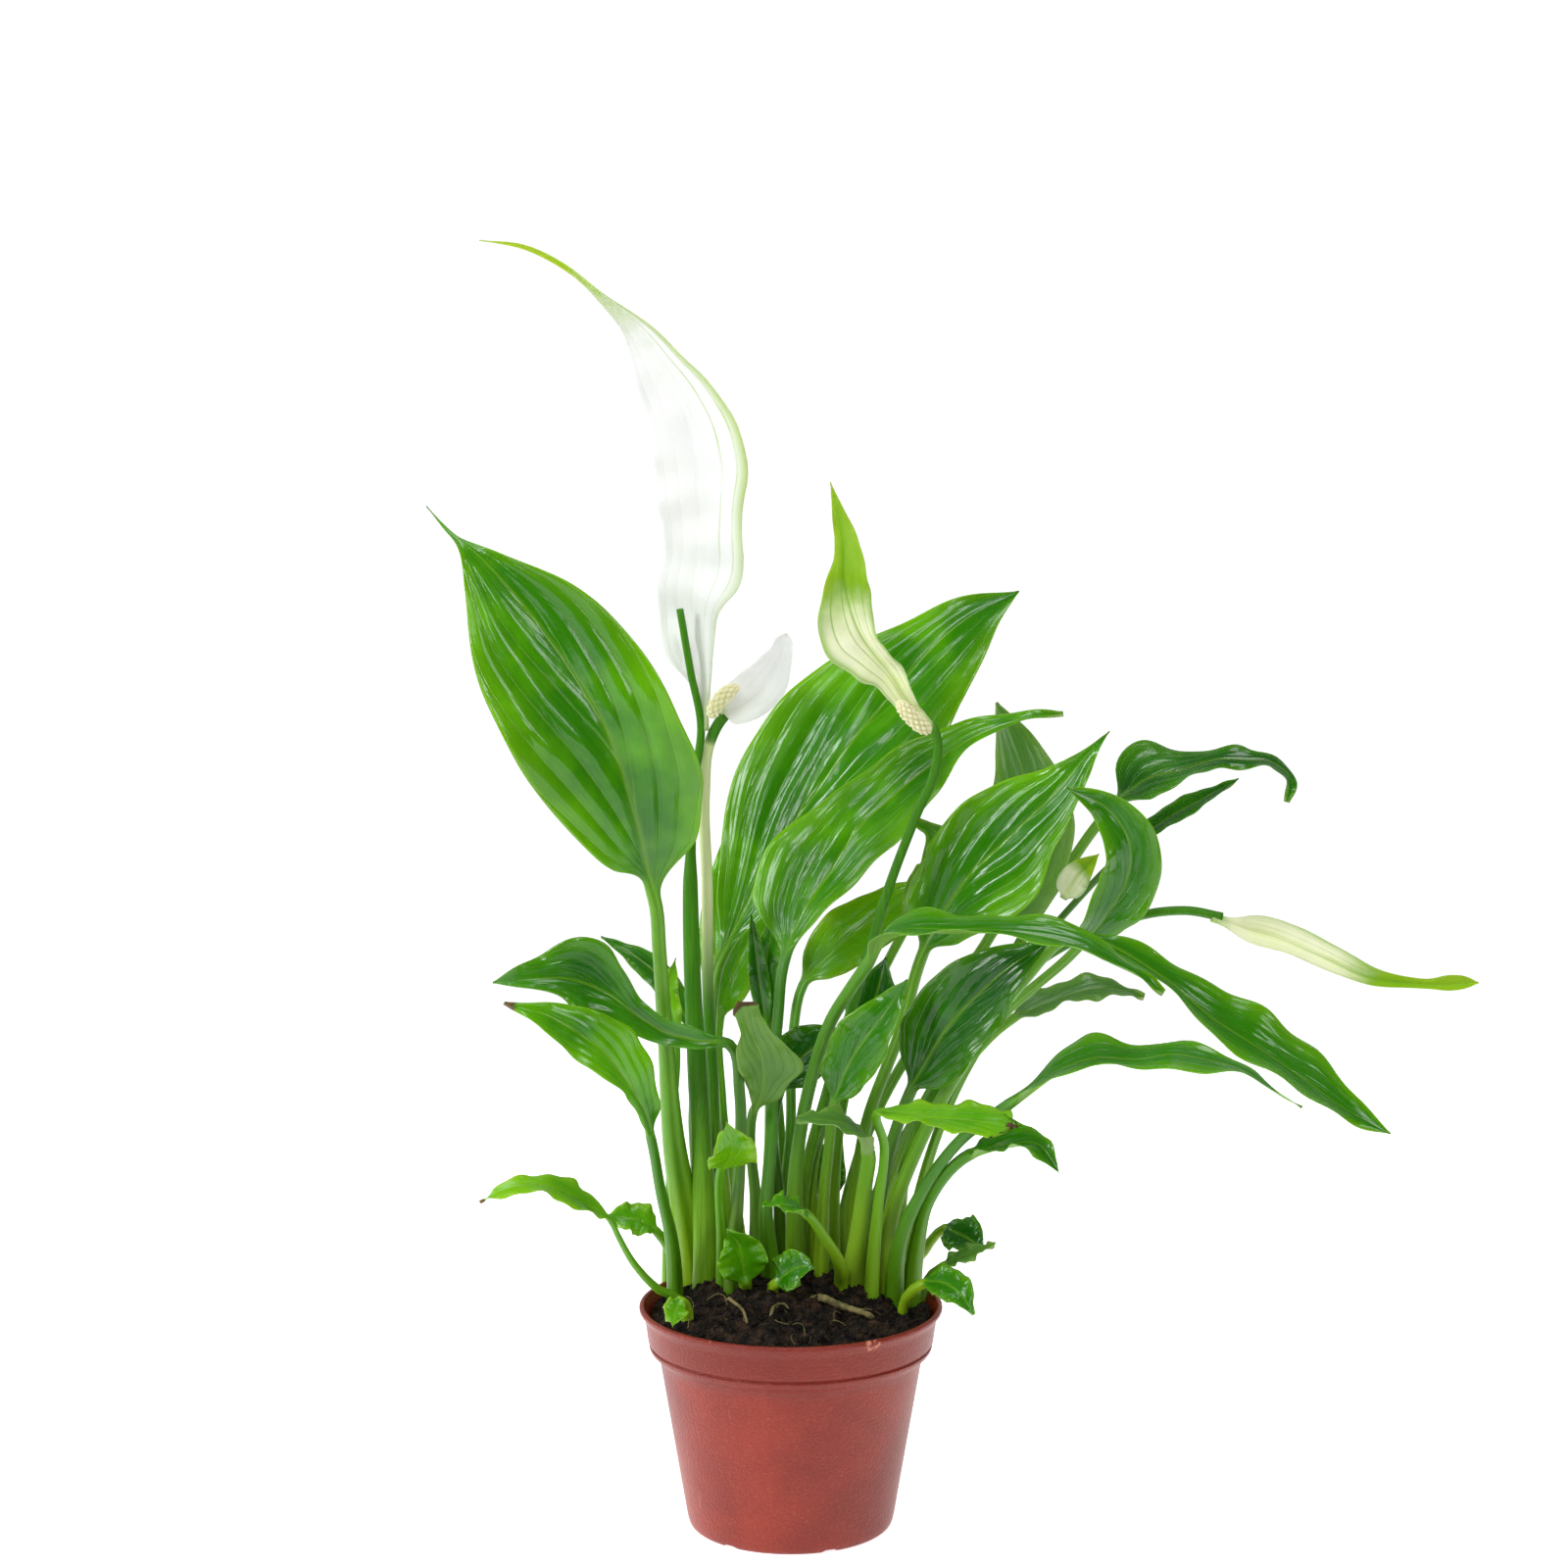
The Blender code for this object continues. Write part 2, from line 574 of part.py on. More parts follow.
def build_soil(folder, finish):
    crown = [(r, soil_height(r, 0.0)) for r in (0.0, 14.0, 28.0, 42.0)]
    crown.append((COLLAR_RADIUS - POT_WALL - SOIL_GAP - 0.3, SOIL_EDGE - 1.0))
    body = [
        (COLLAR_RADIUS - 3.0 - POT_WALL - SOIL_GAP - 0.4, COLLAR_FOOT + 4.2),
        (WALL_TOP_RADIUS - POT_WALL - SOIL_GAP - 1.0, COLLAR_FOOT - 3.0),
        (BASE_RADIUS - 1.0 - SOIL_GAP - 0.3, 5.0),
        (BASE_RADIUS - 3.2, POT_WALL + SOIL_GAP),
        (0.0, POT_WALL + SOIL_GAP),
    ]
    spun("soil", crown + body, SOIL_SIDES, folder, finish)


def with_foot(foot, points, radius):
    x, y = foot
    return [(x, y, soil_height(x, y) + FOOT_GAP + 0.35 * radius)] + list(points)


def build_plant(folder, finishes):
    for name, row in LEAVES.items():
        finish, foot, stem, *form = row
        mesh = loft_blade(name, with_foot(foot, stem, form[2]), *form)
        add_object(name, mesh, folder, finishes[finish])
    for name, (foot, points, low, high) in STALKS.items():
        corners = smooth_route(with_foot(foot, points, low), np.linspace(0.0, 1.0, 10))
        tube(name, corners, np.linspace(low, high, len(corners)), folder, finishes["stalk_green"])
    for name, (finish, route, width, look, fold, curl, radius) in SPATHES.items():
        mesh = loft_blade(name, [], route, width, radius, look, fold, curl, 5, 0.6, 1.1)
        add_object(name, mesh, folder, finishes[finish])
    for name, (route, radius) in SPADICES.items():
        stations = np.linspace(0.0, 1.0, 9)
        swell = radius * np.sqrt(np.clip(1 - (2 * stations - 1) ** 4, 0.06, 1))
        tube(name, smooth_route(route, stations), swell, folder, finishes["spadix_cream"])
    for name, (route, radius) in ROOTS.items():
        stations = np.linspace(0.0, 1.0, 7)
        tube(name, smooth_route(route, stations), radius * (1.1 - 0.4 * stations), folder,
             finishes["root_tan"], 1)


def main():
    clear_scene()
    folder = new_collection("peace_lily", False)
    cutters = new_collection("cutters", True)
    finishes = {name: new_finish(name, *values) for name, values in FINISHES.items()}
    build_pot(folder, cutters, finishes["terracotta_plastic"])
    build_soil(folder, finishes["potting_soil"])
    build_plant(folder, finishes)


main()
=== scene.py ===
"""Peace lily growing in a round nursery pot, made as detailed surfaces over the plain solids of the frame.

Sizes are millimetres until a mesh is made, which turns them into metres. The origin is the middle of the
pot's underside, +Z is up and -Y is the front. Every leaf, stalk, flower part and root is a section carried
along a smooth route, the pot is a profile turned round the axis, and the soil is a polar grid.
"""

from __future__ import annotations

import itertools
import logging
from dataclasses import dataclass
from enum import Enum

import bpy
import numpy as np
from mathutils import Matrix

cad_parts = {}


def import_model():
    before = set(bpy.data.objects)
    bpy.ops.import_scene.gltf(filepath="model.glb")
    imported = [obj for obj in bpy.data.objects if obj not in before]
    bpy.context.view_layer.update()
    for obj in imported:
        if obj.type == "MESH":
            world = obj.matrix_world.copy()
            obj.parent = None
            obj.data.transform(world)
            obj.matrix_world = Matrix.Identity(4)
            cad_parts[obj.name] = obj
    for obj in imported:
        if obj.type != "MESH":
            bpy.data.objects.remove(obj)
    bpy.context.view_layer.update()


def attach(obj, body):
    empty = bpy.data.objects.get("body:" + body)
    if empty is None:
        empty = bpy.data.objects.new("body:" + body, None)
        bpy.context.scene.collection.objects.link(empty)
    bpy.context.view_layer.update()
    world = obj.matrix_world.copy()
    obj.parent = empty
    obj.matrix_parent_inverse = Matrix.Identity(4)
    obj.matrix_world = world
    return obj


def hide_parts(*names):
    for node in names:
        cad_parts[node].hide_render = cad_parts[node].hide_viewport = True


Array = np.ndarray
Vec2 = tuple[float, float]
Vec3 = tuple[float, float, float]
Points = list[Vec3]
Colour = tuple[float, float, float]
Socket = bpy.types.NodeSocket
Number = Socket | float
Value = Number | Colour

MM = 0.001  # one millimetre, in the metres that meshes and materials use
TAU = 2.0 * np.pi
BODY = "root"

log = logging.getLogger("peace_lily")


# ---------------------------------------------------------------- shapes worked out as whole arrays


def unit(vectors: Array) -> Array:
    """Vectors divided by their own length."""
    return vectors / np.maximum(np.linalg.norm(vectors, axis=-1, keepdims=True), 1e-12)


def ease(value: Array, low: float, high: float) -> Array:
    """Smoothstep: 0 below low, 1 above high, and 3t^2 - 2t^3 between them."""
    t = np.clip((np.asarray(value, float) - low) / (high - low), 0.0, 1.0)
    return t * t * (3.0 - 2.0 * t)


def plane_waves(points: Array, length: float, seed: int, count: int = 8) -> Array:
    """Gentle wandering: the mean of several sines, each running in its own direction.

    Args:
        points: places, with the coordinates in the last axis.
        length: typical distance from one crest to the next.
        seed: picks the directions and starts.
        count: how many sines are added.

    Returns:
        One value for each place, mostly within -1 and 1.
    """
    draw = np.random.default_rng(seed)
    ways = unit(draw.normal(size=(points.shape[-1], count)).T).T / (length * draw.uniform(0.7, 1.5, count))
    return np.sin(TAU * (points @ ways + draw.uniform(0.0, 1.0, count))).sum(-1) / np.sqrt(count)


def lattice_noise(points: Array, cell: float, seed: int) -> Array:
    """Lumpy noise: each corner of a lattice has its own value, and a place blends its eight corners.

    Args:
        points: places, with x, y and z in the last axis.
        cell: edge of one lattice cube.
        seed: picks the values.

    Returns:
        One value from -1 to 1 for each place.
    """
    scaled = points / cell
    base = np.floor(scaled).astype(np.int64)
    t = scaled - base
    t = t * t * (3.0 - 2.0 * t)
    total = np.zeros(points.shape[:-1])
    for corner in itertools.product((0, 1), repeat=3):
        key = (base + corner) @ np.array([7349, 19121, 49831]) + 7919 * seed
        value = np.modf(np.abs(np.sin((key % 100003) * 12.9898)) * 43758.5453)[0]
        total += value * np.prod(np.where(corner, t, 1.0 - t), axis=-1)
    return 2.0 * total - 1.0


def smooth_values(along: Array, knots: Array, where: Array) -> Array:
    """Cubic curve through the knots, each with the slope that its neighbours give.

    Args:
        along: place of each knot on the line.
        knots: value or point at each knot, one row each.
        where: places on the line at which the curve is read.

    Returns:
        One row for each place.
    """
    slopes = np.gradient(knots, along, axis=0)
    left = np.clip(np.searchsorted(along, where, side="right") - 1, 0, len(knots) - 2)
    step = (along[left + 1] - along[left])[:, None]
    t = (where - along[left])[:, None] / step
    return (
        (2 * t**3 - 3 * t**2 + 1) * knots[left]
        + (t**3 - 2 * t**2 + t) * step * slopes[left]
        + (3 * t**2 - 2 * t**3) * knots[left + 1]
        + (t**3 - t**2) * step * slopes[left + 1]
    )


def smooth_route(points: Points, stations: Array) -> Array:
    """The smooth curve through the points, read at shares of its length from 0 to 1."""
    knots = np.array(points, float)
    along = np.concatenate([[0.0], np.cumsum(np.linalg.norm(np.diff(knots, axis=0), axis=1))])
    return smooth_values(along, knots, np.asarray(stations) * along[-1])


def carried_frames(route: Array, look: Vec3, anchor: int) -> tuple[Array, Array, Array]:
    """Axes carried along a route: each upper axis is the last one with its part along the tangent removed.

    Args:
        route: places along the path.
        look: the way the upper side faces at the anchor.
        anchor: station from which the axes are carried both ways.

    Returns:
        The tangent, side and upper axes at each station.
    """
    tangents = unit(np.gradient(route, axis=0))
    uppers = np.zeros_like(route)
    for run in (range(anchor, len(route)), range(anchor, -1, -1)):
        upper = np.array(look, float)
        for i in run:
            upper = unit(upper - upper.dot(tangents[i]) * tangents[i])
            uppers[i] = upper
    return tangents, np.cross(tangents, uppers), uppers


def full_turn(count: int) -> Array:
    """Angles evenly spaced round a circle, without the last one, which is the first again."""
    return TAU * np.arange(count) / count


def tube_rings(route: Array, radii: Array, around: int, look: Vec3 = (0.0, -1.0, 0.2)) -> Array:
    """Rings round a route: radius times cosine on the side axis plus radius times sine on the upper axis.

    Args:
        route: places along the path.
        radii: radius at each station, or at each station and each point round it.
        around: points in a ring.
        look: the way the first quarter of the ring faces.

    Returns:
        Rings of points, as (stations, around, 3).
    """
    _, sides, uppers = carried_frames(route, look, 0)
    turn = full_turn(around)[:, None]
    reach = np.broadcast_to(np.reshape(radii, (len(route), -1)), (len(route), around))[..., None]
    return route[:, None] + reach * (np.cos(turn) * sides[:, None] + np.sin(turn) * uppers[:, None])


def rounded_profile(corners: list[tuple[float, float, float]], bend: int = 5, run: int = 4) -> Array:
    """A line of corners with each corner eased by a quadratic curve of its own reach.

    Args:
        corners: radius, height and easing reach of each corner.
        bend: points on each eased corner.
        run: points on each straight between corners.

    Returns:
        Points of the profile, as (count, 2).
    """
    spots = np.array([corner[:2] for corner in corners])
    found = [spots[:1]]
    last = spots[0]
    for here, after, corner in zip(spots[1:-1], spots[2:], corners[1:-1]):
        into, out = here - last, after - here
        start = here - unit(into) * min(corner[2], 0.5 * np.linalg.norm(into))
        end = here + unit(out) * min(corner[2], 0.5 * np.linalg.norm(out))
        t = np.linspace(0.0, 1.0, bend)[:, None]
        found.append(last + (start - last) * np.linspace(0.0, 1.0, run)[1:-1, None])
        found.append((1 - t) ** 2 * start + 2 * t * (1 - t) * here + t**2 * end)
        last = end
    found.append(last + (spots[-1] - last) * np.linspace(0.0, 1.0, run)[1:, None])
    return np.concatenate(found)


def turned_rings(profile: Array, around: int) -> Array:
    """A profile of radius and height turned round the axis, as (stations, around, 3)."""
    turn = full_turn(around)
    ring = np.stack([np.cos(turn), np.sin(turn), np.ones(around)], 1)
    return ring * np.stack([profile[:, 0], profile[:, 0], profile[:, 1]], 1)[:, None]


class Surface:
    """Closed lofts gathered into one mesh, with a number at each point for each named mark."""

    def __init__(self, name: str) -> None:
        """Starts an empty surface with the name of its piece."""
        self.name = name
        self.places: list[Array] = []
        self.faces: list[list[int]] = []
        self.marks: dict[str, list[Array]] = {}
        self.count = 0

    def shell(self, places: Array, faces: list[Array], marks: dict[str, Array]) -> None:
        """Adds one closed shell, turned right side out.

        Args:
            places: its points, as (count, 3).
            faces: arrays of corner numbers, one array for each count of corners.
            marks: one number for each point under each name.
        """
        fans = np.concatenate([f[:, [0, k, k + 1]] for f in faces for k in range(1, f.shape[1] - 1)])
        inside_out = np.linalg.det(places[fans] - places.mean(0)).sum() < 0.0
        for block in faces:
            ordered = block[:, ::-1] if inside_out else block
            self.faces.extend((ordered + self.count).tolist())
        self.places.append(places)
        for name, values in marks.items():
            self.marks.setdefault(name, []).append(values)
        self.count += len(places)

    def loft(self, rings: Array, marks: dict[str, Array] | None = None) -> None:
        """Adds a loft whose rings are joined in order, with a point in the middle of each end ring.

        Args:
            rings: points as (stations, around, 3).
            marks: numbers as (stations, around) under each name.
        """
        count, size, _ = rings.shape
        here = np.arange(size)
        after = (here + 1) % size
        row = size * np.arange(count - 1)[:, None]
        quads = np.stack([row + here, row + after, row + size + after, row + size + here], -1).reshape(-1, 4)
        start, far = count * size, (count - 1) * size
        caps = np.concatenate([
            np.stack([after, here, np.full(size, start)], 1),
            np.stack([far + here, far + after, np.full(size, start + 1)], 1),
        ])
        places = np.concatenate([rings.reshape(-1, 3), rings[:1].mean(1), rings[-1:].mean(1)])
        spread = {}
        for name, values in (marks or {}).items():
            full = np.broadcast_to(values, (count, size))
            spread[name] = np.concatenate([full.ravel(), [full[0].mean(), full[-1].mean()]])
        self.shell(places, [quads, caps], spread)

    def mesh(self) -> bpy.types.Mesh:
        """The gathered shells as a smooth mesh in metres."""
        mesh = bpy.data.meshes.new(self.name)
        mesh.from_pydata((np.concatenate(self.places) * MM).tolist(), [], self.faces)
        for name, blocks in self.marks.items():
            layer = mesh.attributes.new(name, "FLOAT", "POINT")
            layer.data.foreach_set("value", np.concatenate(blocks).astype(np.float32))
        mesh.shade_smooth()
        mesh.update()
        return mesh

    def publish(self, material: bpy.types.Material, slot: str, *nodes: str) -> bpy.types.Object:
        """Makes the piece, rides it on the root body and hides the nodes that it stands for.

        Args:
            material: its finish.
            slot: the material slot of the record that it takes its finish from.
            nodes: the nodes that it replaces.

        Returns:
            The new object.
        """
        piece = placed(self.name, self.mesh())
        piece.data.materials.append(material)
        return hand_over(piece, slot, *nodes)


def placed(name: str, data: bpy.types.ID) -> bpy.types.Object:
    """A new object in the scene that shows the data."""
    item = bpy.data.objects.new(name, data)
    bpy.context.scene.collection.objects.link(item)
    return item


def hand_over(piece: bpy.types.Object, slot: str, *nodes: str) -> bpy.types.Object:
    """Rides a piece on the root body, hides the nodes that it stands for, and logs the slot that it belongs
    to.
    """
    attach(piece, BODY)
    if nodes:
        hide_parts(*nodes)
    log.info("%s: %d faces, slot %s", piece.name, len(piece.data.polygons), slot)
    return piece


# ---------------------------------------------------------------- finishes


class NodeTree:
    """The nodes of a material or of the surround, with a short call for each kind that is used here."""

    def __init__(self, tree: bpy.types.NodeTree) -> None:
        """Takes the tree that the nodes go into."""
        self.tree = tree

    def feed(self, socket: Socket, value: Value) -> None:
        """Links a socket into an input, or sets the input to a plain value."""
        if isinstance(value, Socket):
            self.tree.links.new(value, socket)
        elif isinstance(value, tuple) and socket.type == "RGBA":
            socket.default_value = (*value, 1.0)
        else:
            socket.default_value = value

    def add(self, kind: str, inputs: dict[int | str, Value], **settings: object) -> bpy.types.Node:
        """Adds one node.

        Args:
            kind: its type.
            inputs: what goes into each input.
            settings: its properties.

        Returns:
            The node.
        """
        node = self.tree.nodes.new(kind)
        for key, value in settings.items():
            setattr(node, key, value)
        for key, value in inputs.items():
            self.feed(node.inputs[key], value)
        return node

    def math(self, operation: str, a: Number, b: Number = 0.0, c: Number = 0.0) -> Socket:
        """One sum on two or three numbers."""
        return self.add("ShaderNodeMath", {0: a, 1: b, 2: c}, operation=operation).outputs[0]

    def times(self, a: Number, b: Number) -> Socket:
        """One number times another."""
        return self.math("MULTIPLY", a, b)

    def scaled(self, value: Socket, factor: float, offset: Number) -> Socket:
        """A number times a factor, plus an offset."""
        return self.math("MULTIPLY_ADD", value, factor, offset)

    def without(self, value: Socket) -> Socket:
        """What a share leaves of one."""
        return self.math("SUBTRACT", 1.0, value)

    def spread(self, value: Socket, low: float, high: float, first: float = 0.0, last: float = 1.0) -> Socket:
        """A number eased from one range to another, and held at its ends."""
        inputs = {"Value": value, "From Min": low, "From Max": high, "To Min": first, "To Max": last}
        return self.add("ShaderNodeMapRange", inputs, interpolation_type="SMOOTHSTEP").outputs["Result"]


class Graph(NodeTree):
    """A material's nodes: patterns on the object's own coordinates or marks, and the shader they feed."""

    def __init__(self, name: str, **sockets: float | Colour) -> None:
        """Starts a material.

        Args:
            name: name of the material.
            sockets: values set on the shader itself, named as the socket with _ for a space.
        """
        self.material = bpy.data.materials.new(name)
        self.material.use_nodes = True
        super().__init__(self.material.node_tree)
        self.shader = self.tree.nodes["Principled BSDF"]
        for key, value in sockets.items():
            self.feed(self.shader.inputs[key.replace("_", " ")], value)
        self.object_place = self.add("ShaderNodeTexCoord", {}).outputs["Object"]

    def mark(self, name: str) -> Socket:
        """The number that the mesh holds under this name."""
        return self.add("ShaderNodeAttribute", {}, attribute_name=name).outputs["Fac"]

    def mix(self, share: Number, a: Socket | Colour, b: Socket | Colour) -> Socket:
        """A blend from colour a to colour b."""
        return self.add("ShaderNodeMix", {0: share, 6: a, 7: b}, data_type="RGBA").outputs[2]

    def coats(self, ground: Socket | Colour, *coats: tuple[Socket, float, Socket | Colour]) -> Socket:
        """Colours laid over a ground in turn.

        Args:
            ground: the colour underneath.
            coats: for each coat the mask that says where it lies, its share at the mask's full strength, and
                its colour.

        Returns:
            The colour with every coat on it.
        """
        for mask, share, colour in coats:
            ground = self.mix(self.times(mask, share), ground, colour)
        return ground

    def noise(
        self, scale: float, detail: float = 3.0, roughness: float = 0.55, place: Socket | None = None
    ) -> Socket:
        """Cloudy noise on the object's own coordinates, or on the place given."""
        where = place or self.object_place
        inputs = {"Vector": where, "Scale": scale, "Detail": detail, "Roughness": roughness}
        return self.add("ShaderNodeTexNoise", inputs).outputs["Fac"]

    def cells(self, scale: float) -> Socket:
        """Distance from the middle of scattered cells on the object's own coordinates."""
        inputs = {"Vector": self.object_place, "Scale": scale}
        return self.add("ShaderNodeTexVoronoi", inputs).outputs["Distance"]

    def grain(self, factors: Vec3, detail: float) -> Socket:
        """Noise on the object's coordinates scaled along each axis, so that it runs one way."""
        place = self.add("ShaderNodeMapping", {"Vector": self.object_place, "Scale": factors}).outputs[0]
        return self.noise(1.0, detail, place=place)

    def axis(self, which: str) -> Socket:
        """One of the object's coordinates, in metres."""
        return self.add("ShaderNodeSeparateXYZ", {0: self.object_place}).outputs[which]

    def distance(self, place: Vec3) -> Socket:
        """Distance from a place on the object, in metres."""
        inputs = {0: self.object_place, 1: place}
        return self.add("ShaderNodeVectorMath", inputs, operation="DISTANCE").outputs["Value"]

    def finish(self, colour: Socket, roughness: Socket, height: Socket, depth: float) -> bpy.types.Material:
        """Feeds the shader and returns the material.

        Args:
            colour: the base colour.
            roughness: the roughness.
            height: small relief, as a number.
            depth: metres of relief for each one of that number.

        Returns:
            The finished material.
        """
        normal = self.add("ShaderNodeBump", {"Height": height, "Distance": depth, "Strength": 1.0}).outputs[0]
        for key, value in {"Base Color": colour, "Roughness": roughness, "Normal": normal}.items():
            self.feed(self.shader.inputs[key], value)
        return self.material


class Tone(Enum):
    """The four greens of the leaves, named as their slots in the record."""

    GREEN = "leaf_green"
    DEEP = "leaf_deep"
    OLIVE = "leaf_olive"
    GREY = "leaf_grey"


@dataclass(frozen=True)
class LeafFinish:
    """Waxy leaf: glossy and veined above, dull and paler below, on a smooth green petiole."""

    tone: Tone
    upper: Colour
    shade: Colour
    margin: Colour
    underside: Colour
    rib: Colour = (0.20, 0.42, 0.02)
    petiole: Colour = (0.13, 0.34, 0.003)
    petiole_foot: Colour = (0.30, 0.48, 0.010)
    dry: Colour = (0.07, 0.03, 0.008)
    gloss: float = 0.17
    underside_roughness: float = 0.55
    fine_veins: float = 5.0
    relief_depth: float = 0.00035

    def veins(self, g: Graph) -> tuple[Socket, Socket]:
        """Side veins and the fine ones between them.

        Each is a ramp down from a whole count of veins, and fades where the blade is too narrow for it.

        Args:
            g: the nodes that it adds to.

        Returns:
            Strength of the side veins and of the fine ones.
        """
        count, broad = g.mark("vein"), g.mark("broad")
        line = g.spread(g.math("PINGPONG", count, 0.5), 0.0, 0.07, 1.0, 0.0)
        fine = g.spread(g.math("PINGPONG", g.times(count, self.fine_veins), 0.5), 0.0, 0.3, 1.0, 0.0)
        return g.times(line, g.spread(broad, 0.12, 0.35)), g.times(fine, g.spread(broad, 0.45, 0.9))

    def upper_face(self, g: Graph, line: Socket, fine: Socket) -> Socket:
        """Soft patches of two greens, lighter towards the margin and along the veins and the rib."""
        edge = g.mark("edge")
        tint = g.math("SUBTRACT", g.mark("shift"), g.mark("depth"))
        patch = g.scaled(tint, 0.35, g.noise(28.0))
        return g.coats(
            g.mix(g.spread(patch, 0.38, 0.78), self.shade, self.upper),
            (g.noise(420.0, 2.0), 0.18, self.shade),
            (g.spread(edge, 0.35, 1.0), 0.30, self.margin),
            (line, 0.14, self.rib),
            (fine, 0.04, self.margin),
            (g.spread(edge, 0.93, 1.0), 0.6, self.margin),
            (g.mark("rib"), 0.42, self.rib),
        )

    def lower_face(self, g: Graph, line: Socket) -> Socket:
        """The pale underside, clouded with the upper green, with its veins and rib drawn on it."""
        return g.coats(
            self.underside,
            (line, 0.35, self.rib),
            (g.noise(90.0, 4.0), 0.35, self.upper),
            (g.mark("rib"), 0.6, self.rib),
        )

    def stem(self, g: Graph) -> Socket:
        """The petiole: pale at its foot, streaked lengthwise, and darker on some leaves than on others."""
        return g.coats(
            g.mix(g.mark("stem"), self.petiole_foot, self.petiole),
            (g.grain((900.0, 900.0, 40.0), 3.0), 0.35, self.shade),
            (g.spread(g.mark("shift"), -0.3, 0.3), 0.75, self.shade),
        )

    def build(self) -> bpy.types.Material:
        """Colour by face, petiole and dry tip; wax that is dull below; relief from the veins and the skin."""
        g = Graph(
            self.tone.value, Specular_IOR_Level=0.45, Subsurface_Weight=0.12, Subsurface_Scale=0.002,
            Subsurface_Radius=(0.6, 1.0, 0.1),
        )
        side, blade = g.mark("side"), g.mark("blade")
        line, fine = self.veins(g)
        face = g.mix(side, self.lower_face(g, line), self.upper_face(g, line, fine))
        burnt = g.spread(g.scaled(g.noise(300.0), 0.5, g.mark("dry")), 0.62, 0.86)
        colour = g.coats(g.mix(blade, self.stem(g), face), (burnt, 1.0, self.dry))
        skin = g.scaled(g.noise(60.0, 4.0), 0.22, self.gloss - 0.10)
        dull = g.times(g.times(g.without(side), self.underside_roughness - self.gloss), blade)
        roughness = g.math("ADD", g.scaled(burnt, 0.4, skin), dull)
        roughness = g.scaled(g.without(blade), 0.22, roughness)
        relief = g.scaled(line, -0.4, g.scaled(g.noise(260.0, 2.0), 0.3, g.times(fine, -0.06)))
        return g.finish(colour, roughness, g.times(relief, g.scaled(blade, 0.8, 0.2)), self.relief_depth)


@dataclass(frozen=True)
class StalkFinish:
    """Smooth green flower stalk, paler where it leaves the soil and where a sheath wraps it."""

    name: str
    green: Colour
    foot: Colour
    deep: Colour
    sheath: Colour
    relief_depth: float = 0.0003

    def build(self) -> bpy.types.Material:
        """Colour from foot to top with fine lengthwise streaks, which also give the relief."""
        g = Graph(
            self.name, Specular_IOR_Level=0.22, Subsurface_Weight=0.08, Subsurface_Scale=0.002,
            Subsurface_Radius=(0.6, 1.0, 0.15),
        )
        streak = g.grain((1100.0, 1100.0, 50.0), 4.0)
        colour = g.coats(
            g.mix(g.mark("stem"), self.foot, self.green),
            (g.spread(streak, 0.35, 0.8), 0.5, self.deep),
            (g.noise(60.0), 0.25, self.deep),
            (g.mark("sheath"), 1.0, self.sheath),
        )
        return g.finish(colour, g.scaled(g.noise(300.0), 0.2, 0.3), streak, self.relief_depth)


@dataclass(frozen=True)
class SpatheFinish:
    """Papery spathe: pale ground, green margin, tip and lengthwise veins."""

    name: str
    ground: Colour
    blush: Colour
    green: Colour
    tip_start: float
    vein_share: float
    tip_fade: float = 0.22
    relief_depth: float = 0.0002

    def build(self) -> bpy.types.Material:
        """Colour from the place along and across the spathe; relief from its veins and crinkled skin."""
        g = Graph(
            self.name, Specular_IOR_Level=0.3, Subsurface_Weight=0.25, Subsurface_Scale=0.003,
            Subsurface_Radius=(1.0, 1.0, 0.8),
        )
        veined = g.mark("veined")
        line = g.spread(g.math("PINGPONG", g.mark("vein"), 0.5), 0.0, 0.10, 1.0, 0.0)
        line = g.times(line, g.spread(g.mark("broad"), 0.10, 0.35))
        cloud = g.noise(55.0, 4.0)
        strength = g.times(g.spread(cloud, 0.35, 0.65, 0.35, 1.0), veined)
        ragged = g.scaled(g.noise(120.0), 0.12, g.mark("along"))
        colour = g.coats(
            self.ground,
            (g.spread(cloud, 0.4, 0.8), 0.5, self.blush),
            (g.times(line, strength), self.vein_share, self.green),
            (g.times(g.spread(g.mark("edge"), 0.66, 0.98), veined), 0.8, self.green),
            (g.spread(ragged, self.tip_start, self.tip_start + self.tip_fade), 1.0, self.green),
            (g.times(g.mark("rib"), veined), 0.7, self.green),
            (g.without(g.mark("blade")), 0.7, self.green),
        )
        relief = g.scaled(line, -0.3, g.noise(260.0, 2.0))
        return g.finish(colour, g.scaled(g.noise(200.0), 0.2, 0.42), relief, self.relief_depth)


@dataclass(frozen=True)
class SpadixFinish:
    """Cream spadix, paler on its knobs and darker in the gaps between them."""

    name: str
    knob: Colour
    gap: Colour
    relief_depth: float = 0.0003

    def build(self) -> bpy.types.Material:
        """Colour from the knob mark with mealy noise, which also gives the relief."""
        g = Graph(
            self.name, Specular_IOR_Level=0.25, Subsurface_Weight=0.2, Subsurface_Scale=0.002,
            Subsurface_Radius=(1.0, 0.9, 0.5),
        )
        meal = g.noise(1500.0)
        knobs = g.mix(g.spread(g.mark("knob"), 0.05, 0.6), self.gap, self.knob)
        colour = g.coats(knobs, (meal, 0.2, self.gap))
        return g.finish(colour, g.scaled(meal, 0.2, 0.6), meal, self.relief_depth)


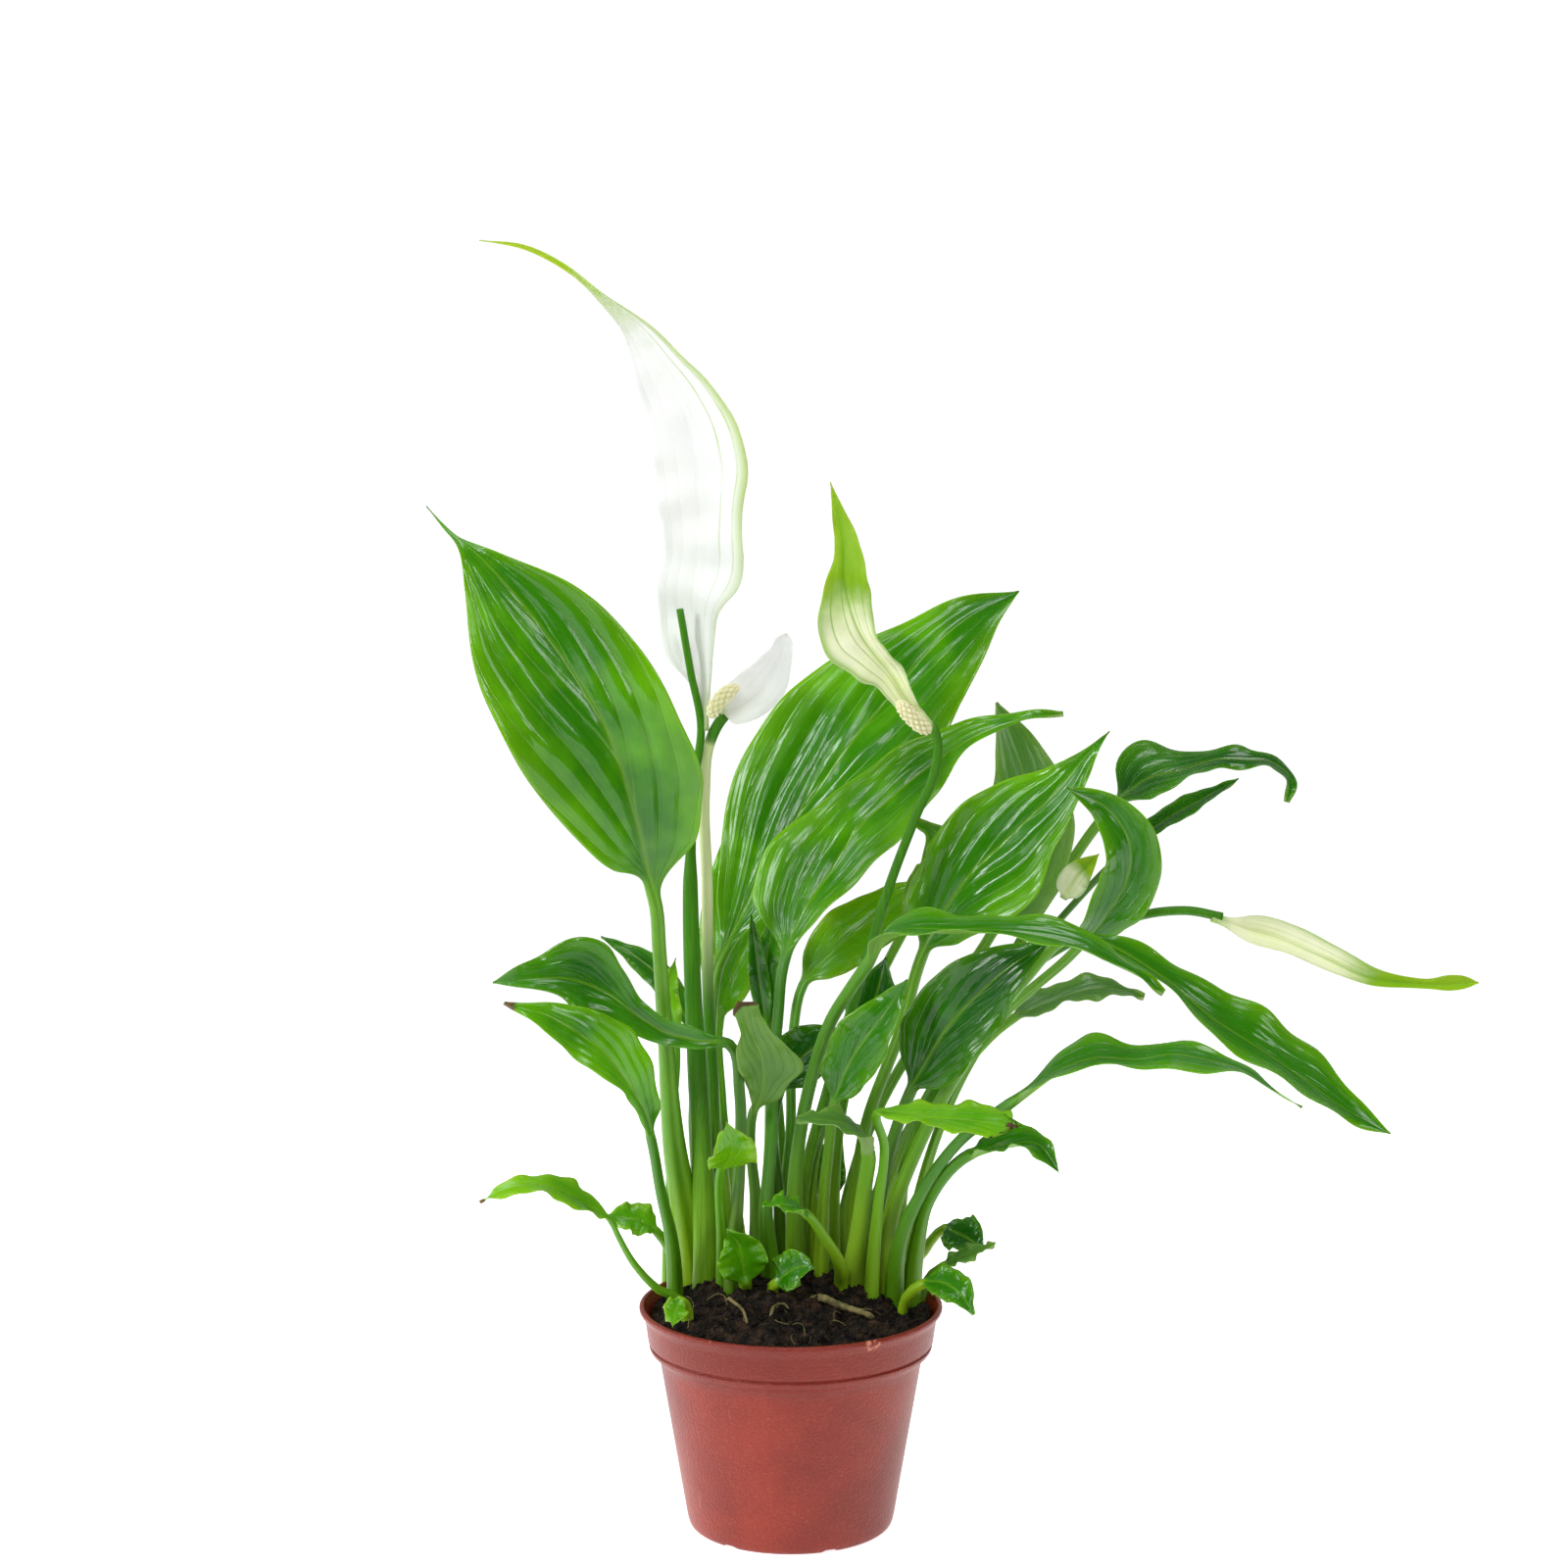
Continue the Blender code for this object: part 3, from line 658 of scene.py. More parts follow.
@dataclass(frozen=True)
class PotFinish:
    """Moulded terracotta plastic with a fine leathery grain, faint cloudiness and rubbed edges."""

    name: str
    clay: Colour
    deep: Colour
    # pale colour of the real rubs and chips, and of the painted highlight on the grain's raised tops
    scuff_and_glint: Colour
    flake: Vec3 = (0.0316, -0.0505, 0.0885)
    flake_reach: Vec2 = (0.0042, 0.0025)
    rim_band: Vec2 = (0.0875, 0.0893)
    # heights over which the painted shade of the collar and rim sets in
    collar_shade_band: Vec2 = (0.0655, 0.0685)
    relief_depth: float = 0.0005

    def chips(self, g: Graph) -> Socket:
        """Pale rubs scattered along the rim, and one flaked patch on it."""
        rubs = g.times(g.spread(g.axis("Z"), *self.rim_band), g.spread(g.noise(95.0, 5.0), 0.66, 0.70))
        patch = g.spread(g.distance(self.flake), *self.flake_reach)
        return g.math("MAXIMUM", rubs, g.times(patch, g.spread(g.noise(420.0, 4.0), 0.48, 0.54)))

    def build(self) -> bpy.types.Material:
        """Cloudy clay colour, painted shade on the collar and in its groove, painted highlight and shade on
        the grain, pale rubs, and a pebbled relief.
        """
        g = Graph(
            self.name, Specular_IOR_Level=0.36, Subsurface_Weight=0.04, Subsurface_Scale=0.003,
            Subsurface_Radius=(1.0, 0.4, 0.25),
        )
        cloud, pebble, chip = g.noise(22.0, 4.0), g.noise(1000.0, 2.0, 0.5), self.chips(g)
        scratch = g.spread(g.grain((240.0, 240.0, 35.0), 5.0), 0.70, 0.76, 0.0, 0.35)
        colour = g.coats(
            g.mix(g.spread(cloud, 0.3, 0.75), self.clay, self.deep),
            (g.noise(900.0, 2.0), 0.12, self.deep),
            # painted highlight: the grain's raised tops are paled
            (g.spread(pebble, 0.52, 0.75), 0.10, self.scuff_and_glint),
            # painted shade: the grain's pits are darkened
            (g.spread(pebble, 0.5, 0.3), 0.35, self.deep),
            (g.math("MAXIMUM", chip, scratch), 1.0, self.scuff_and_glint),
            # painted shade: the groove under the collar's bead is darkened
            (g.mark("groove"), 0.45, self.deep),
            # painted shade: everything above the collar's foot, collar and rim alike, is darkened, except
            # where chipped
            (g.times(g.spread(g.axis("Z"), *self.collar_shade_band), g.without(chip)), 0.45, self.deep),
        )
        return g.finish(colour, g.scaled(chip, 0.2, g.scaled(cloud, 0.14, 0.27)), pebble, self.relief_depth)


@dataclass(frozen=True)
class SoilFinish:
    """Moist peat: near black, with brown crumbs and a few pale specks."""

    name: str
    dark: Colour
    brown: Colour
    speck: Colour
    relief_depth: float = 0.0040

    def build(self) -> bpy.types.Material:
        """Colour from clods and specks, with relief from clods and grains."""
        g = Graph(self.name, Specular_IOR_Level=0.25)
        clod = g.noise(180.0, 6.0, 0.7)
        colour = g.coats(
            g.mix(g.spread(clod, 0.42, 0.72), self.dark, self.brown),
            (g.spread(g.noise(900.0), 0.64, 0.72), 0.7, self.speck),
        )
        grain = g.scaled(g.cells(1300.0), 0.5, clod)
        return g.finish(colour, g.scaled(clod, 0.2, 0.75), grain, self.relief_depth)


@dataclass(frozen=True)
class RootFinish:
    """Dry root or fibre: tan with darker rings and stains of soil."""

    name: str
    tan: Colour
    stain: Colour
    relief_depth: float = 0.0004

    def build(self) -> bpy.types.Material:
        """Stained tan with ringed relief."""
        g = Graph(self.name, Specular_IOR_Level=0.3)
        colour = g.mix(g.spread(g.noise(220.0, 4.0), 0.4, 0.7), self.tan, self.stain)
        ring = g.grain((1200.0, 400.0, 400.0), 3.0)
        return g.finish(colour, g.scaled(ring, 0.2, 0.6), ring, self.relief_depth)


LEAF_FINISHES = (
    LeafFinish(Tone.GREEN, upper=(0.115, 0.38, 0.001), shade=(0.024, 0.16, 0.001),
               margin=(0.17, 0.42, 0.002), underside=(0.16, 0.33, 0.04)),
    LeafFinish(Tone.DEEP, upper=(0.042, 0.22, 0.001), shade=(0.007, 0.08, 0.001),
               margin=(0.09, 0.28, 0.003), underside=(0.12, 0.25, 0.05), gloss=0.18),
    LeafFinish(Tone.OLIVE, upper=(0.18, 0.45, 0.002), shade=(0.07, 0.27, 0.001),
               margin=(0.28, 0.48, 0.006), underside=(0.22, 0.38, 0.07), gloss=0.24),
    LeafFinish(Tone.GREY, upper=(0.14, 0.30, 0.04), shade=(0.06, 0.18, 0.02),
               margin=(0.18, 0.32, 0.05), underside=(0.22, 0.33, 0.12), gloss=0.36),
)
STALK_FINISH = StalkFinish("stalk_green", green=(0.055, 0.22, 0.002), foot=(0.20, 0.40, 0.010),
                           deep=(0.010, 0.085, 0.001), sheath=(0.62, 0.70, 0.34))
SPATHE_FINISHES = (
    SpatheFinish("spathe_white", ground=(0.80, 0.80, 0.78), blush=(0.78, 0.79, 0.72),
                 green=(0.27, 0.43, 0.004), tip_start=0.70, vein_share=0.75),
    SpatheFinish("spathe_cream", ground=(0.80, 0.82, 0.54), blush=(0.62, 0.74, 0.24),
                 green=(0.17, 0.36, 0.002), tip_start=0.50, vein_share=0.85),
)
SPADIX_FINISH = SpadixFinish("spadix_cream", knob=(0.82, 0.78, 0.52), gap=(0.66, 0.62, 0.28))
POT_FINISH = PotFinish("terracotta_plastic", clay=(0.28, 0.024, 0.009), deep=(0.17, 0.012, 0.005),
                       scuff_and_glint=(0.55, 0.20, 0.12))
SOIL_FINISH = SoilFinish("potting_soil", dark=(0.006, 0.0035, 0.0025), brown=(0.10, 0.052, 0.030),
                         speck=(0.12, 0.06, 0.03))
ROOT_FINISH = RootFinish("root_tan", tan=(0.20, 0.16, 0.06), stain=(0.06, 0.055, 0.015))


# ---------------------------------------------------------------- the pot and what fills it


@dataclass
class Pot:
    """Round nursery pot: a rolled rim over a collar, a tapering wall, and a foot ring with drain channels."""

    height: float = 90.0
    rim: float = 60.0
    collar: float = 57.4
    collar_foot: float = 70.0
    wall_top: float = 51.5
    base: float = 40.4
    wall: float = 1.4
    around: int = 240
    holes: int = 6
    hole_radius: float = 3.6
    hole_circle: float = 27.0
    channel_depth: float = 1.3
    channel_start: float = 0.62
    channel_share: float = 0.06

    def profile(self) -> Array:
        """The wall's line: inside from the middle up, over the rim, and down the outside to the middle."""
        h, rim, collar, foot = self.height, self.rim, self.collar, self.collar_foot
        top, base, wall = self.wall_top, self.base, self.wall
        return rounded_profile([
            (0.0, 3.4, 0.0), (base - 4.0, 3.4, 1.0), (base - 1.9, 6.0, 2.0),
            (top - wall - 0.2, foot - 4.0, 2.0),
            (collar - 4.6, foot + 3.0, 1.5), (collar - wall - 0.2, h - 5.0, 1.5), (rim - 2.3, h - 1.6, 0.8),
            (rim - 1.9, h - 0.2, 0.5), (rim - 0.9, h, 0.5), (rim, h - 0.7, 0.5), (rim - 0.05, h - 2.0, 0.5),
            (rim - 0.9, h - 2.9, 0.4), (collar + 0.4, h - 4.8, 1.0), (collar - 0.9, foot + 5.5, 0.5),
            (collar - 2.0, foot + 4.7, 0.3), (collar - 1.2, foot + 3.9, 0.3), (collar - 1.7, foot + 2.3, 0.6),
            (collar - 3.0, foot + 1.0, 0.7), (top + 1.2, foot - 0.4, 0.8), (top + 0.2, foot - 3.4, 1.2),
            (base + 0.9, 4.6, 0.8), (base + 0.6, 3.2, 0.5), (base - 0.1, 1.0, 0.7), (base - 1.3, 0.0, 0.5),
            (base - 3.2, 0.0, 0.5), (base - 4.2, 1.8, 0.6), (0.0, 1.8, 0.0),
        ])

    def rings(self) -> tuple[Array, dict[str, Array]]:
        """The turned profile, a little out of round, with drain channels lifted through the foot ring."""
        profile = self.profile()
        rings = turned_rings(profile, self.around)
        turn = full_turn(self.around)
        rings[..., :2] *= (1.0 + 0.0022 * np.sin(2 * turn + 0.7) + 0.0012 * np.sin(3 * turn))[None, :, None]
        radius, height = profile.T
        off_channel = (turn * self.holes / TAU + self.channel_start) % 1.0 - 0.5
        channel = np.exp(-((off_channel / self.channel_share) ** 4))
        near_foot = (height < self.channel_depth) & (radius > self.base - 6.0)
        lift = np.where(near_foot, self.channel_depth - height, 0.0)
        rings[..., 2] += 0.96 * lift[:, None] * channel[None]
        # marks the groove under the collar's bead, where the finish paints shade
        groove = np.exp(-(((height - self.collar_foot - 4.5) / 0.7) ** 2)) * (radius > self.wall_top + 2.0)
        return rings, {"groove": groove[:, None]}

    def drill(self, mesh: bpy.types.Mesh) -> bpy.types.Mesh:
        """Cuts the drain holes: a ring of upright cylinders is taken from the floor.

        Args:
            mesh: the undrilled pot.

        Returns:
            The drilled mesh, with no modifier left on it.
        """
        cutters = Surface("drain_cutters")
        for turn in TAU * (np.arange(self.holes) + 0.5) / self.holes:
            centre = np.array([np.cos(turn), np.sin(turn), 0.0]) * self.hole_circle
            line = np.array([[self.hole_radius, -3.0], [self.hole_radius, 8.0]])
            cutters.loft(turned_rings(line, 28) + centre)
        body, tool = placed("undrilled", mesh), placed("drills", cutters.mesh())
        cut = body.modifiers.new("drill", "BOOLEAN")
        cut.object, cut.solver, cut.operation = tool, "EXACT", "DIFFERENCE"
        bpy.context.view_layer.update()
        drilled = bpy.data.meshes.new_from_object(body.evaluated_get(bpy.context.evaluated_depsgraph_get()))
        for item in (body, tool):
            bpy.data.objects.remove(item, do_unlink=True)
        return drilled

    def build(self, material: bpy.types.Material) -> bpy.types.Object:
        """Turns, drills and dresses the pot."""
        surface = Surface("moulded_pot")
        surface.loft(*self.rings())
        piece = placed("moulded_pot", self.drill(surface.mesh()))
        piece.data.materials.clear()
        piece.data.materials.append(material)
        return hand_over(piece, "terracotta_plastic", "pot")


@dataclass
class Soil:
    """Mounded potting soil with loose crumbs and fibres on it."""

    crown: float = 95.0
    edge: float = 86.0
    reach: float = 56.0
    outer: float = 55.2
    around: int = 300
    stations: int = 120
    below: tuple[Vec2, ...] = ((52.2, 74.2), (49.0, 66.8), (39.4, 6.4), (36.0, 3.8))
    clods: tuple[tuple[float, int], ...] = ((9.0, 3), (4.0, 4), (1.7, 5))
    crumbs: int = 1000
    fibres: int = 45

    def height(self, x: Array, y: Array) -> Array:
        """Height of the soil without its lumps: a shallow paraboloid with a heap on the left at the back.

        Args:
            x: places across the pot.
            y: places from front to back.

        Returns:
            The height at each place.
        """
        reach = np.minimum((x * x + y * y) / self.reach**2, 1.0)
        heap = 5.5 * np.exp(-((x + 27.0) ** 2 + (y - 14.0) ** 2) / (2.0 * 17.0**2))
        heap = heap + 3.0 * np.exp(-((x - 18.0) ** 2 + (y - 24.0) ** 2) / (2.0 * 14.0**2))
        return self.crown + (self.edge - self.crown) * reach + heap * (1.0 - reach)

    def level(self, foot: Vec2) -> float:
        """Height of the soil at one place."""
        return float(self.height(*np.array(foot)))

    def scattered(self, reach: Array | float, turn: Array | float) -> Array:
        """Places at these distances and angles from the middle, as x and y in the last axis."""
        return np.stack([reach * np.cos(turn), reach * np.sin(turn)], -1)

    def surface_at(self, places: Array) -> Array:
        """Puts x and y places on the lumpy surface of the soil.

        Clods of three sizes, lattice noise with cells of 9, 4 and 1.7 mm, are added to the plain height, and
        the largest are squared up.

        Args:
            places: x and y in the last axis.

        Returns:
            The same places with their height.
        """
        plain = self.height(places[..., 0], places[..., 1])
        places = np.concatenate([places, plain[..., None]], -1)
        large, middle, small = (lattice_noise(places, cell, seed) for cell, seed in self.clods)
        places[..., 2] += 2.1 * np.sign(large) * np.abs(large) ** 0.7 + 1.8 * middle + 1.1 * small
        return places

    def bed(self) -> Surface:
        """The soil's body: a polar grid for the top, carried down inside the wall to the pot's floor."""
        radii = self.outer * np.linspace(0.02, 1.0, self.stations)
        top = self.surface_at(self.scattered(radii[:, None], full_turn(self.around)))
        side = turned_rings(np.array(self.below), self.around)
        surface = Surface("soil_bed")
        surface.loft(np.concatenate([top, side]))
        return surface

    def crumb_heap(self) -> Surface:
        """Loose crumbs: one small lumpy ball, stretched, turned and set down many times."""
        draw = np.random.default_rng(11)
        surface = Surface("soil_crumbs")
        reach = self.outer * np.sqrt(draw.uniform(0.0, 1.0, self.crumbs)) * 0.985
        centres = self.surface_at(self.scattered(reach, draw.uniform(0.0, TAU, self.crumbs)))
        centres[:, 2] += 0.2
        size = 0.55 + 1.6 * draw.uniform(0.0, 1.0, self.crumbs) ** 3
        lift = np.linspace(-0.94, 0.94, 4)
        ball = turned_rings(np.stack([np.sqrt(1.0 - lift**2), lift], -1), 6)
        for centre, scale in zip(centres, size):
            turned = np.linalg.qr(draw.normal(size=(3, 3)))[0]
            shape = ball * (1.0 + 0.28 * draw.normal(size=(*ball.shape[:2], 1)))
            surface.loft((shape * scale * draw.uniform(0.6, 1.2, 3)) @ turned + centre)
        return surface

    def fibre_scatter(self) -> Surface:
        """Thin pale fibres, each a wandering line that dips into the soil at both ends."""
        draw = np.random.default_rng(23)
        surface = Surface("soil_fibres")
        steps = np.linspace(-1.0, 1.0, 14)
        for _ in range(self.fibres):
            reach, turn = 50.0 * np.sqrt(draw.uniform()), draw.uniform(0.0, TAU)
            heading, bend = draw.uniform(0.0, TAU), draw.normal(0.0, 0.9)
            length = draw.uniform(2.0, 7.5)
            angle = heading + bend * steps
            line = np.cumsum(np.stack([np.cos(angle), np.sin(angle)], 1), axis=0) * length / 7.0
            line += self.scattered(reach, turn) - line.mean(0)
            span = np.maximum(np.hypot(line[:, 0], line[:, 1]) / 54.0, 1.0)[:, None]
            line = line / span
            z = self.height(line[:, 0], line[:, 1]) + 1.6 - 2.2 * steps**2 + draw.uniform(-0.3, 1.0)
            route = np.column_stack([line, z])
            surface.loft(tube_rings(route, np.full(len(route), draw.uniform(0.10, 0.22)), 4, (0.0, 0.0, 1.0)))
        return surface

    def build(self, material: bpy.types.Material, fibre: bpy.types.Material) -> list[bpy.types.Object]:
        """Makes the bed, the crumbs and the fibres.

        Args:
            material: finish of the bed and the crumbs.
            fibre: finish of the fibres.

        Returns:
            The three pieces.
        """
        return [
            self.bed().publish(material, "potting_soil", "soil"),
            self.crumb_heap().publish(material, "potting_soil"),
            self.fibre_scatter().publish(fibre, "root_tan"),
        ]


SOIL = Soil()


# ---------------------------------------------------------------- leaves and flower parts

FLAT_CURL = 1e-3  # a blade curled by fewer degrees than this is taken as flat
FLAT_BEND = 1e-4  # the bend in radians that stands for flat, so that nothing is divided by zero


class Bract(Enum):
    """The two kinds of spathe, named as their slots in the record."""

    WHITE = "spathe_white"
    CREAM = "spathe_cream"


def both_faces(upper: Array, lower: Array) -> Array:
    """Values of the upper face, and after them those of the lower face in the opposite order."""
    return np.concatenate([upper, lower[:, ::-1]], 1)


def rooted(foot: Vec2) -> Points:
    """The first two points of a stem: one under the soil at its foot, and one just over it."""
    ground = SOIL.level(foot)
    return [(*foot, ground - 5.0), (*foot, ground + 1.5)]


def outline(v: Array, rise: float, fall: float) -> Array:
    """Outline of a blade: v to the power rise times (1 - v) to the power fall, scaled to reach 1."""
    peak = rise / (rise + fall)
    return (v / peak) ** rise * ((1.0 - v) / (1.0 - peak)) ** fall


@dataclass
class Blade:
    """A stem that opens into a folded, curled and rippled blade, as one closed loft.

    The route runs along the rib. The section has the upper face first and the lower face after it, and each
    half leaves the rib at the fold and bends by the curl.
    """

    node: str
    kind: Tone | Bract
    foot: Vec2 | None
    stem: Points
    blade: Points
    width: float
    radius: float
    look: Vec3
    fold: float
    curl: float
    rise: float = 0.75
    fall: float = 1.05
    ripple: float = 1.3
    waves: float = 2.5
    quilt: float = 1.0
    quilt_depth: float = 0.068
    sway: float = 0.8
    sway_length: float = 38.0
    skin: float = 0.24
    stem_span: float = 74.0
    broad_half: float = 20.0
    dry: float = 0.0
    torn: float = 0.0
    swell: float = 0.7
    swell_reach: float = 38.0
    depth: float = 0.0
    edges: tuple[Vec3, ...] = ()

    @property
    def seed(self) -> int:
        """A number of its own for the piece, from the letters of its name."""
        return sum(position * ord(letter) for position, letter in enumerate(self.node, 1)) % 9973

    def points(self) -> Points:
        """Points of the route, from under the soil where there is a foot."""
        return [*(rooted(self.foot) if self.foot else []), *self.stem, *self.blade]

    def half_widths(self, v: Array, u: Array) -> Array:
        """Half width at each station and column: a smooth curve through the edges where they are given.

        Args:
            v: share of the blade's length, as a column.
            u: share of the half width, from -1 to 1, as a row.

        Returns:
            Half widths, never less than the stem they open from.
        """
        if self.edges:
            knots = np.array([(0.0, 0.0, 0.0), *self.edges, (1.0, 0.0, 0.0)])
            both = smooth_values(knots[:, 0], knots[:, 1:], v[:, 0])
            half = np.where(u < 0, both[:, :1], both[:, 1:])
        else:
            half = self.width / 2 * outline(v, self.rise, self.fall) * np.ones_like(u)
        return np.maximum(np.maximum(half, self.radius * (1.0 - v)), 0.25)

    def phase(self, v: Array, u: Array) -> Array:
        """Count of side veins passed: they leave the rib at a low angle and run towards the tip."""
        return 2.9 * v - 3.2 * np.abs(u) ** 1.15 + 0.35 * (u > 0)

    def relief(self, v: Array, u: Array, half: Array, length: float) -> Array:
        """Height of the blade over its plain section.

        It is quilting that fades where the blade narrows, waves that grow to the margin, and a slow sway.

        Args:
            v: share of the blade's length, as a column.
            u: share of the half width, from -1 to 1, as a row.
            half: half width at each station and column.
            length: length of the blade.

        Returns:
            The height at each station and column.
        """
        reach = np.abs(u)
        pillow = np.abs(np.sin(np.pi * self.phase(v, u))) ** 0.8 - 0.6
        depth = self.quilt_depth * self.quilt * np.minimum(half, self.width / 2) * ease(half, 3.0, 12.0)
        quilt = depth * pillow * (1.0 - reach**4) * ease(reach, 0.02, 0.3) * ease(v, 0.04, 0.25)
        quilt = quilt * (1.0 - ease(v, 0.75, 0.98))
        start = self.seed % 7
        side = np.sign(u)
        wave = np.sin(TAU * (self.waves * v + 0.29 * side) + start)
        wave = wave + 0.5 * np.sin(TAU * (2.3 * self.waves * v + 0.17 * side) + 2.0 * start)
        margin = self.ripple * reach**2.5 * wave * ease(v, 0.02, 0.2)
        spot = np.stack(np.broadcast_arrays(v * length, half * u), -1)
        return quilt + margin + self.sway * plane_waves(spot, self.sway_length, self.seed) * ease(v, 0.0, 0.2)

    def marks(self, v: Array, u: Array, half: Array) -> dict[str, Array]:
        """Numbers for the finish on one face.

        Args:
            v: share of the blade's length, as a column.
            u: share of the half width, from -1 to 1, as a row.
            half: half width at each station and column.

        Returns:
            For each mark an array that spreads to the stations and columns.
        """
        rib_half = 0.25 + 0.017 * self.width * (1.0 - v)
        return {
            "edge": np.abs(u),
            "vein": self.phase(v, u),
            "along": v,
            "blade": ease(v, 0.0, 0.09),
            "rib": np.exp(-((half * u / rib_half) ** 2)) * (1.0 - ease(v, 0.8, 1.0)),
            "dry": ease(v + 0.1 * np.abs(u) * self.dry, 1.0 - self.dry, 1.0) if self.dry else np.zeros(1),
            "shift": np.sin([self.seed]) * 0.3,
            "depth": np.array([self.depth]),
            "broad": np.clip(half / self.broad_half, 0.0, 1.0),
        }

    def section(self, v: Array, u: Array, half: Array, length: float) -> Array:
        """Side and rise of the upper face and then the lower face.

        Args:
            v: share of the blade's length, as a column.
            u: share of the half width, from -1 to 1, as a row.
            half: half width at each station and column.
            length: length of the blade.

        Returns:
            Places in the section, as (stations, twice the columns, 2).
        """
        start = np.radians(self.fold)
        bend = np.radians(self.curl) if abs(self.curl) > FLAT_CURL else FLAT_BEND
        heading = start + bend * np.abs(u)
        across = np.sign(u) * half * (np.sin(heading) - np.sin(start)) / bend
        rise = half * (np.cos(start) - np.cos(heading)) / bend + self.relief(v, u, half, length)
        lean = np.sin(heading) * np.tanh(half * u / 0.5)
        rib_half = 0.62 * self.radius * (1.0 - 0.6 * v)
        rib = self.radius * (1.0 - v) ** 0.8 * np.exp(-((half * u / rib_half) ** 2))
        thick = np.minimum(self.skin, 0.03 + 0.10 * half) * (1.0 - 0.6 * u**2) * (1.0 - 0.3 * v)
        above = thick - 0.22 * rib
        below = thick + 0.85 * rib
        upper = np.stack([across - lean * above, rise + np.cos(heading) * above], -1)
        lower = np.stack([across + lean * below, rise - np.cos(heading) * below], -1)
        return both_faces(upper, lower)

    def stem_section(self, even: Array, radius: Array) -> Array:
        """Section of the stem: a round whose two faces meet at its sides, with a groove along the upper one.

        Args:
            even: place across the section, from -1 to 1.
            radius: radius at each station, as a column.

        Returns:
            Places in the section, as (stations, twice the columns, 2).
        """
        turn = np.radians(self.stem_span * even)
        groove = 1.0 - 0.22 * np.exp(-((even / 0.3) ** 2))
        side, rise = radius * np.sin(turn), radius * np.cos(turn)
        return both_faces(np.stack([side, rise * groove], -1), np.stack([side, -rise], -1))

    def rings(self) -> tuple[Array, dict[str, Array]]:
        """The rings of points along stem and blade, and the marks at each point."""
        points = self.points()
        steps = np.linalg.norm(np.diff(np.array(points), axis=0), axis=1)
        lengths = np.concatenate([[0.0], np.cumsum(steps)])
        total = lengths[-1]
        opening = lengths[len(points) - len(self.blade)] / total
        length = (1.0 - opening) * total
        count = int(np.clip(length / 1.6, 30, 110))
        stations = opening + (1.0 - opening) * np.linspace(0.0, 1.0, count)
        if opening > 0.0:
            closed = np.linspace(0.0, opening, max(int(opening * total / 4.0), 3))[:-1]
            stations = np.concatenate([closed, stations])
        v = np.clip((stations - opening) / (1.0 - opening), 0.0, 0.998)[:, None]
        route = smooth_route(points, stations)
        tangents, sides, uppers = carried_frames(route, self.look, len(stations) - count // 2)
        even = np.linspace(-1.0, 1.0, int(np.clip(self.width / 1.3, 13, 61)) | 1)
        u = (np.sign(even) * np.abs(even) ** 1.15)[None]
        half = self.half_widths(v, u)
        from_foot = stations[:, None] * total
        swelling = (self.swell if self.foot else 0.0) * np.exp(-((from_foot / self.swell_reach) ** 2))
        opened = ease(v, 0.0, 0.14)[..., None]
        closed_section = self.stem_section(even, self.radius * (1.0 + swelling))
        section = opened * self.section(v, u, half, length) + (1.0 - opened) * closed_section
        rings = route[:, None] + section[..., :1] * sides[:, None] + section[..., 1:] * uppers[:, None]
        if self.torn:
            both = both_faces(u, u)
            jag = plane_waves(np.stack([both * 2.0, 0.0 * both], -1), 0.8, self.seed) * ease(v, 0.82, 1.0)
            rings += self.torn * jag[..., None] * tangents[:, None]
        marks = {}
        for name, values in self.marks(v, u, half).items():
            values = np.broadcast_to(values, half.shape)
            marks[name] = both_faces(values, values)
        marks["side"] = both_faces(np.ones_like(half), np.zeros_like(half))
        marks["stem"] = np.broadcast_to(ease(from_foot, 5.0, 75.0), marks["side"].shape)
        return rings, marks

    def build(self, materials: dict[str, bpy.types.Material]) -> bpy.types.Object:
        """Makes the blade's mesh and dresses it."""
        surface = Surface(f"grown_{self.node}")
        surface.loft(*self.rings())
        return surface.publish(materials[self.kind.value], self.kind.value, self.node)


@dataclass
class Leaf(Blade):
    """A leaf on its petiole."""


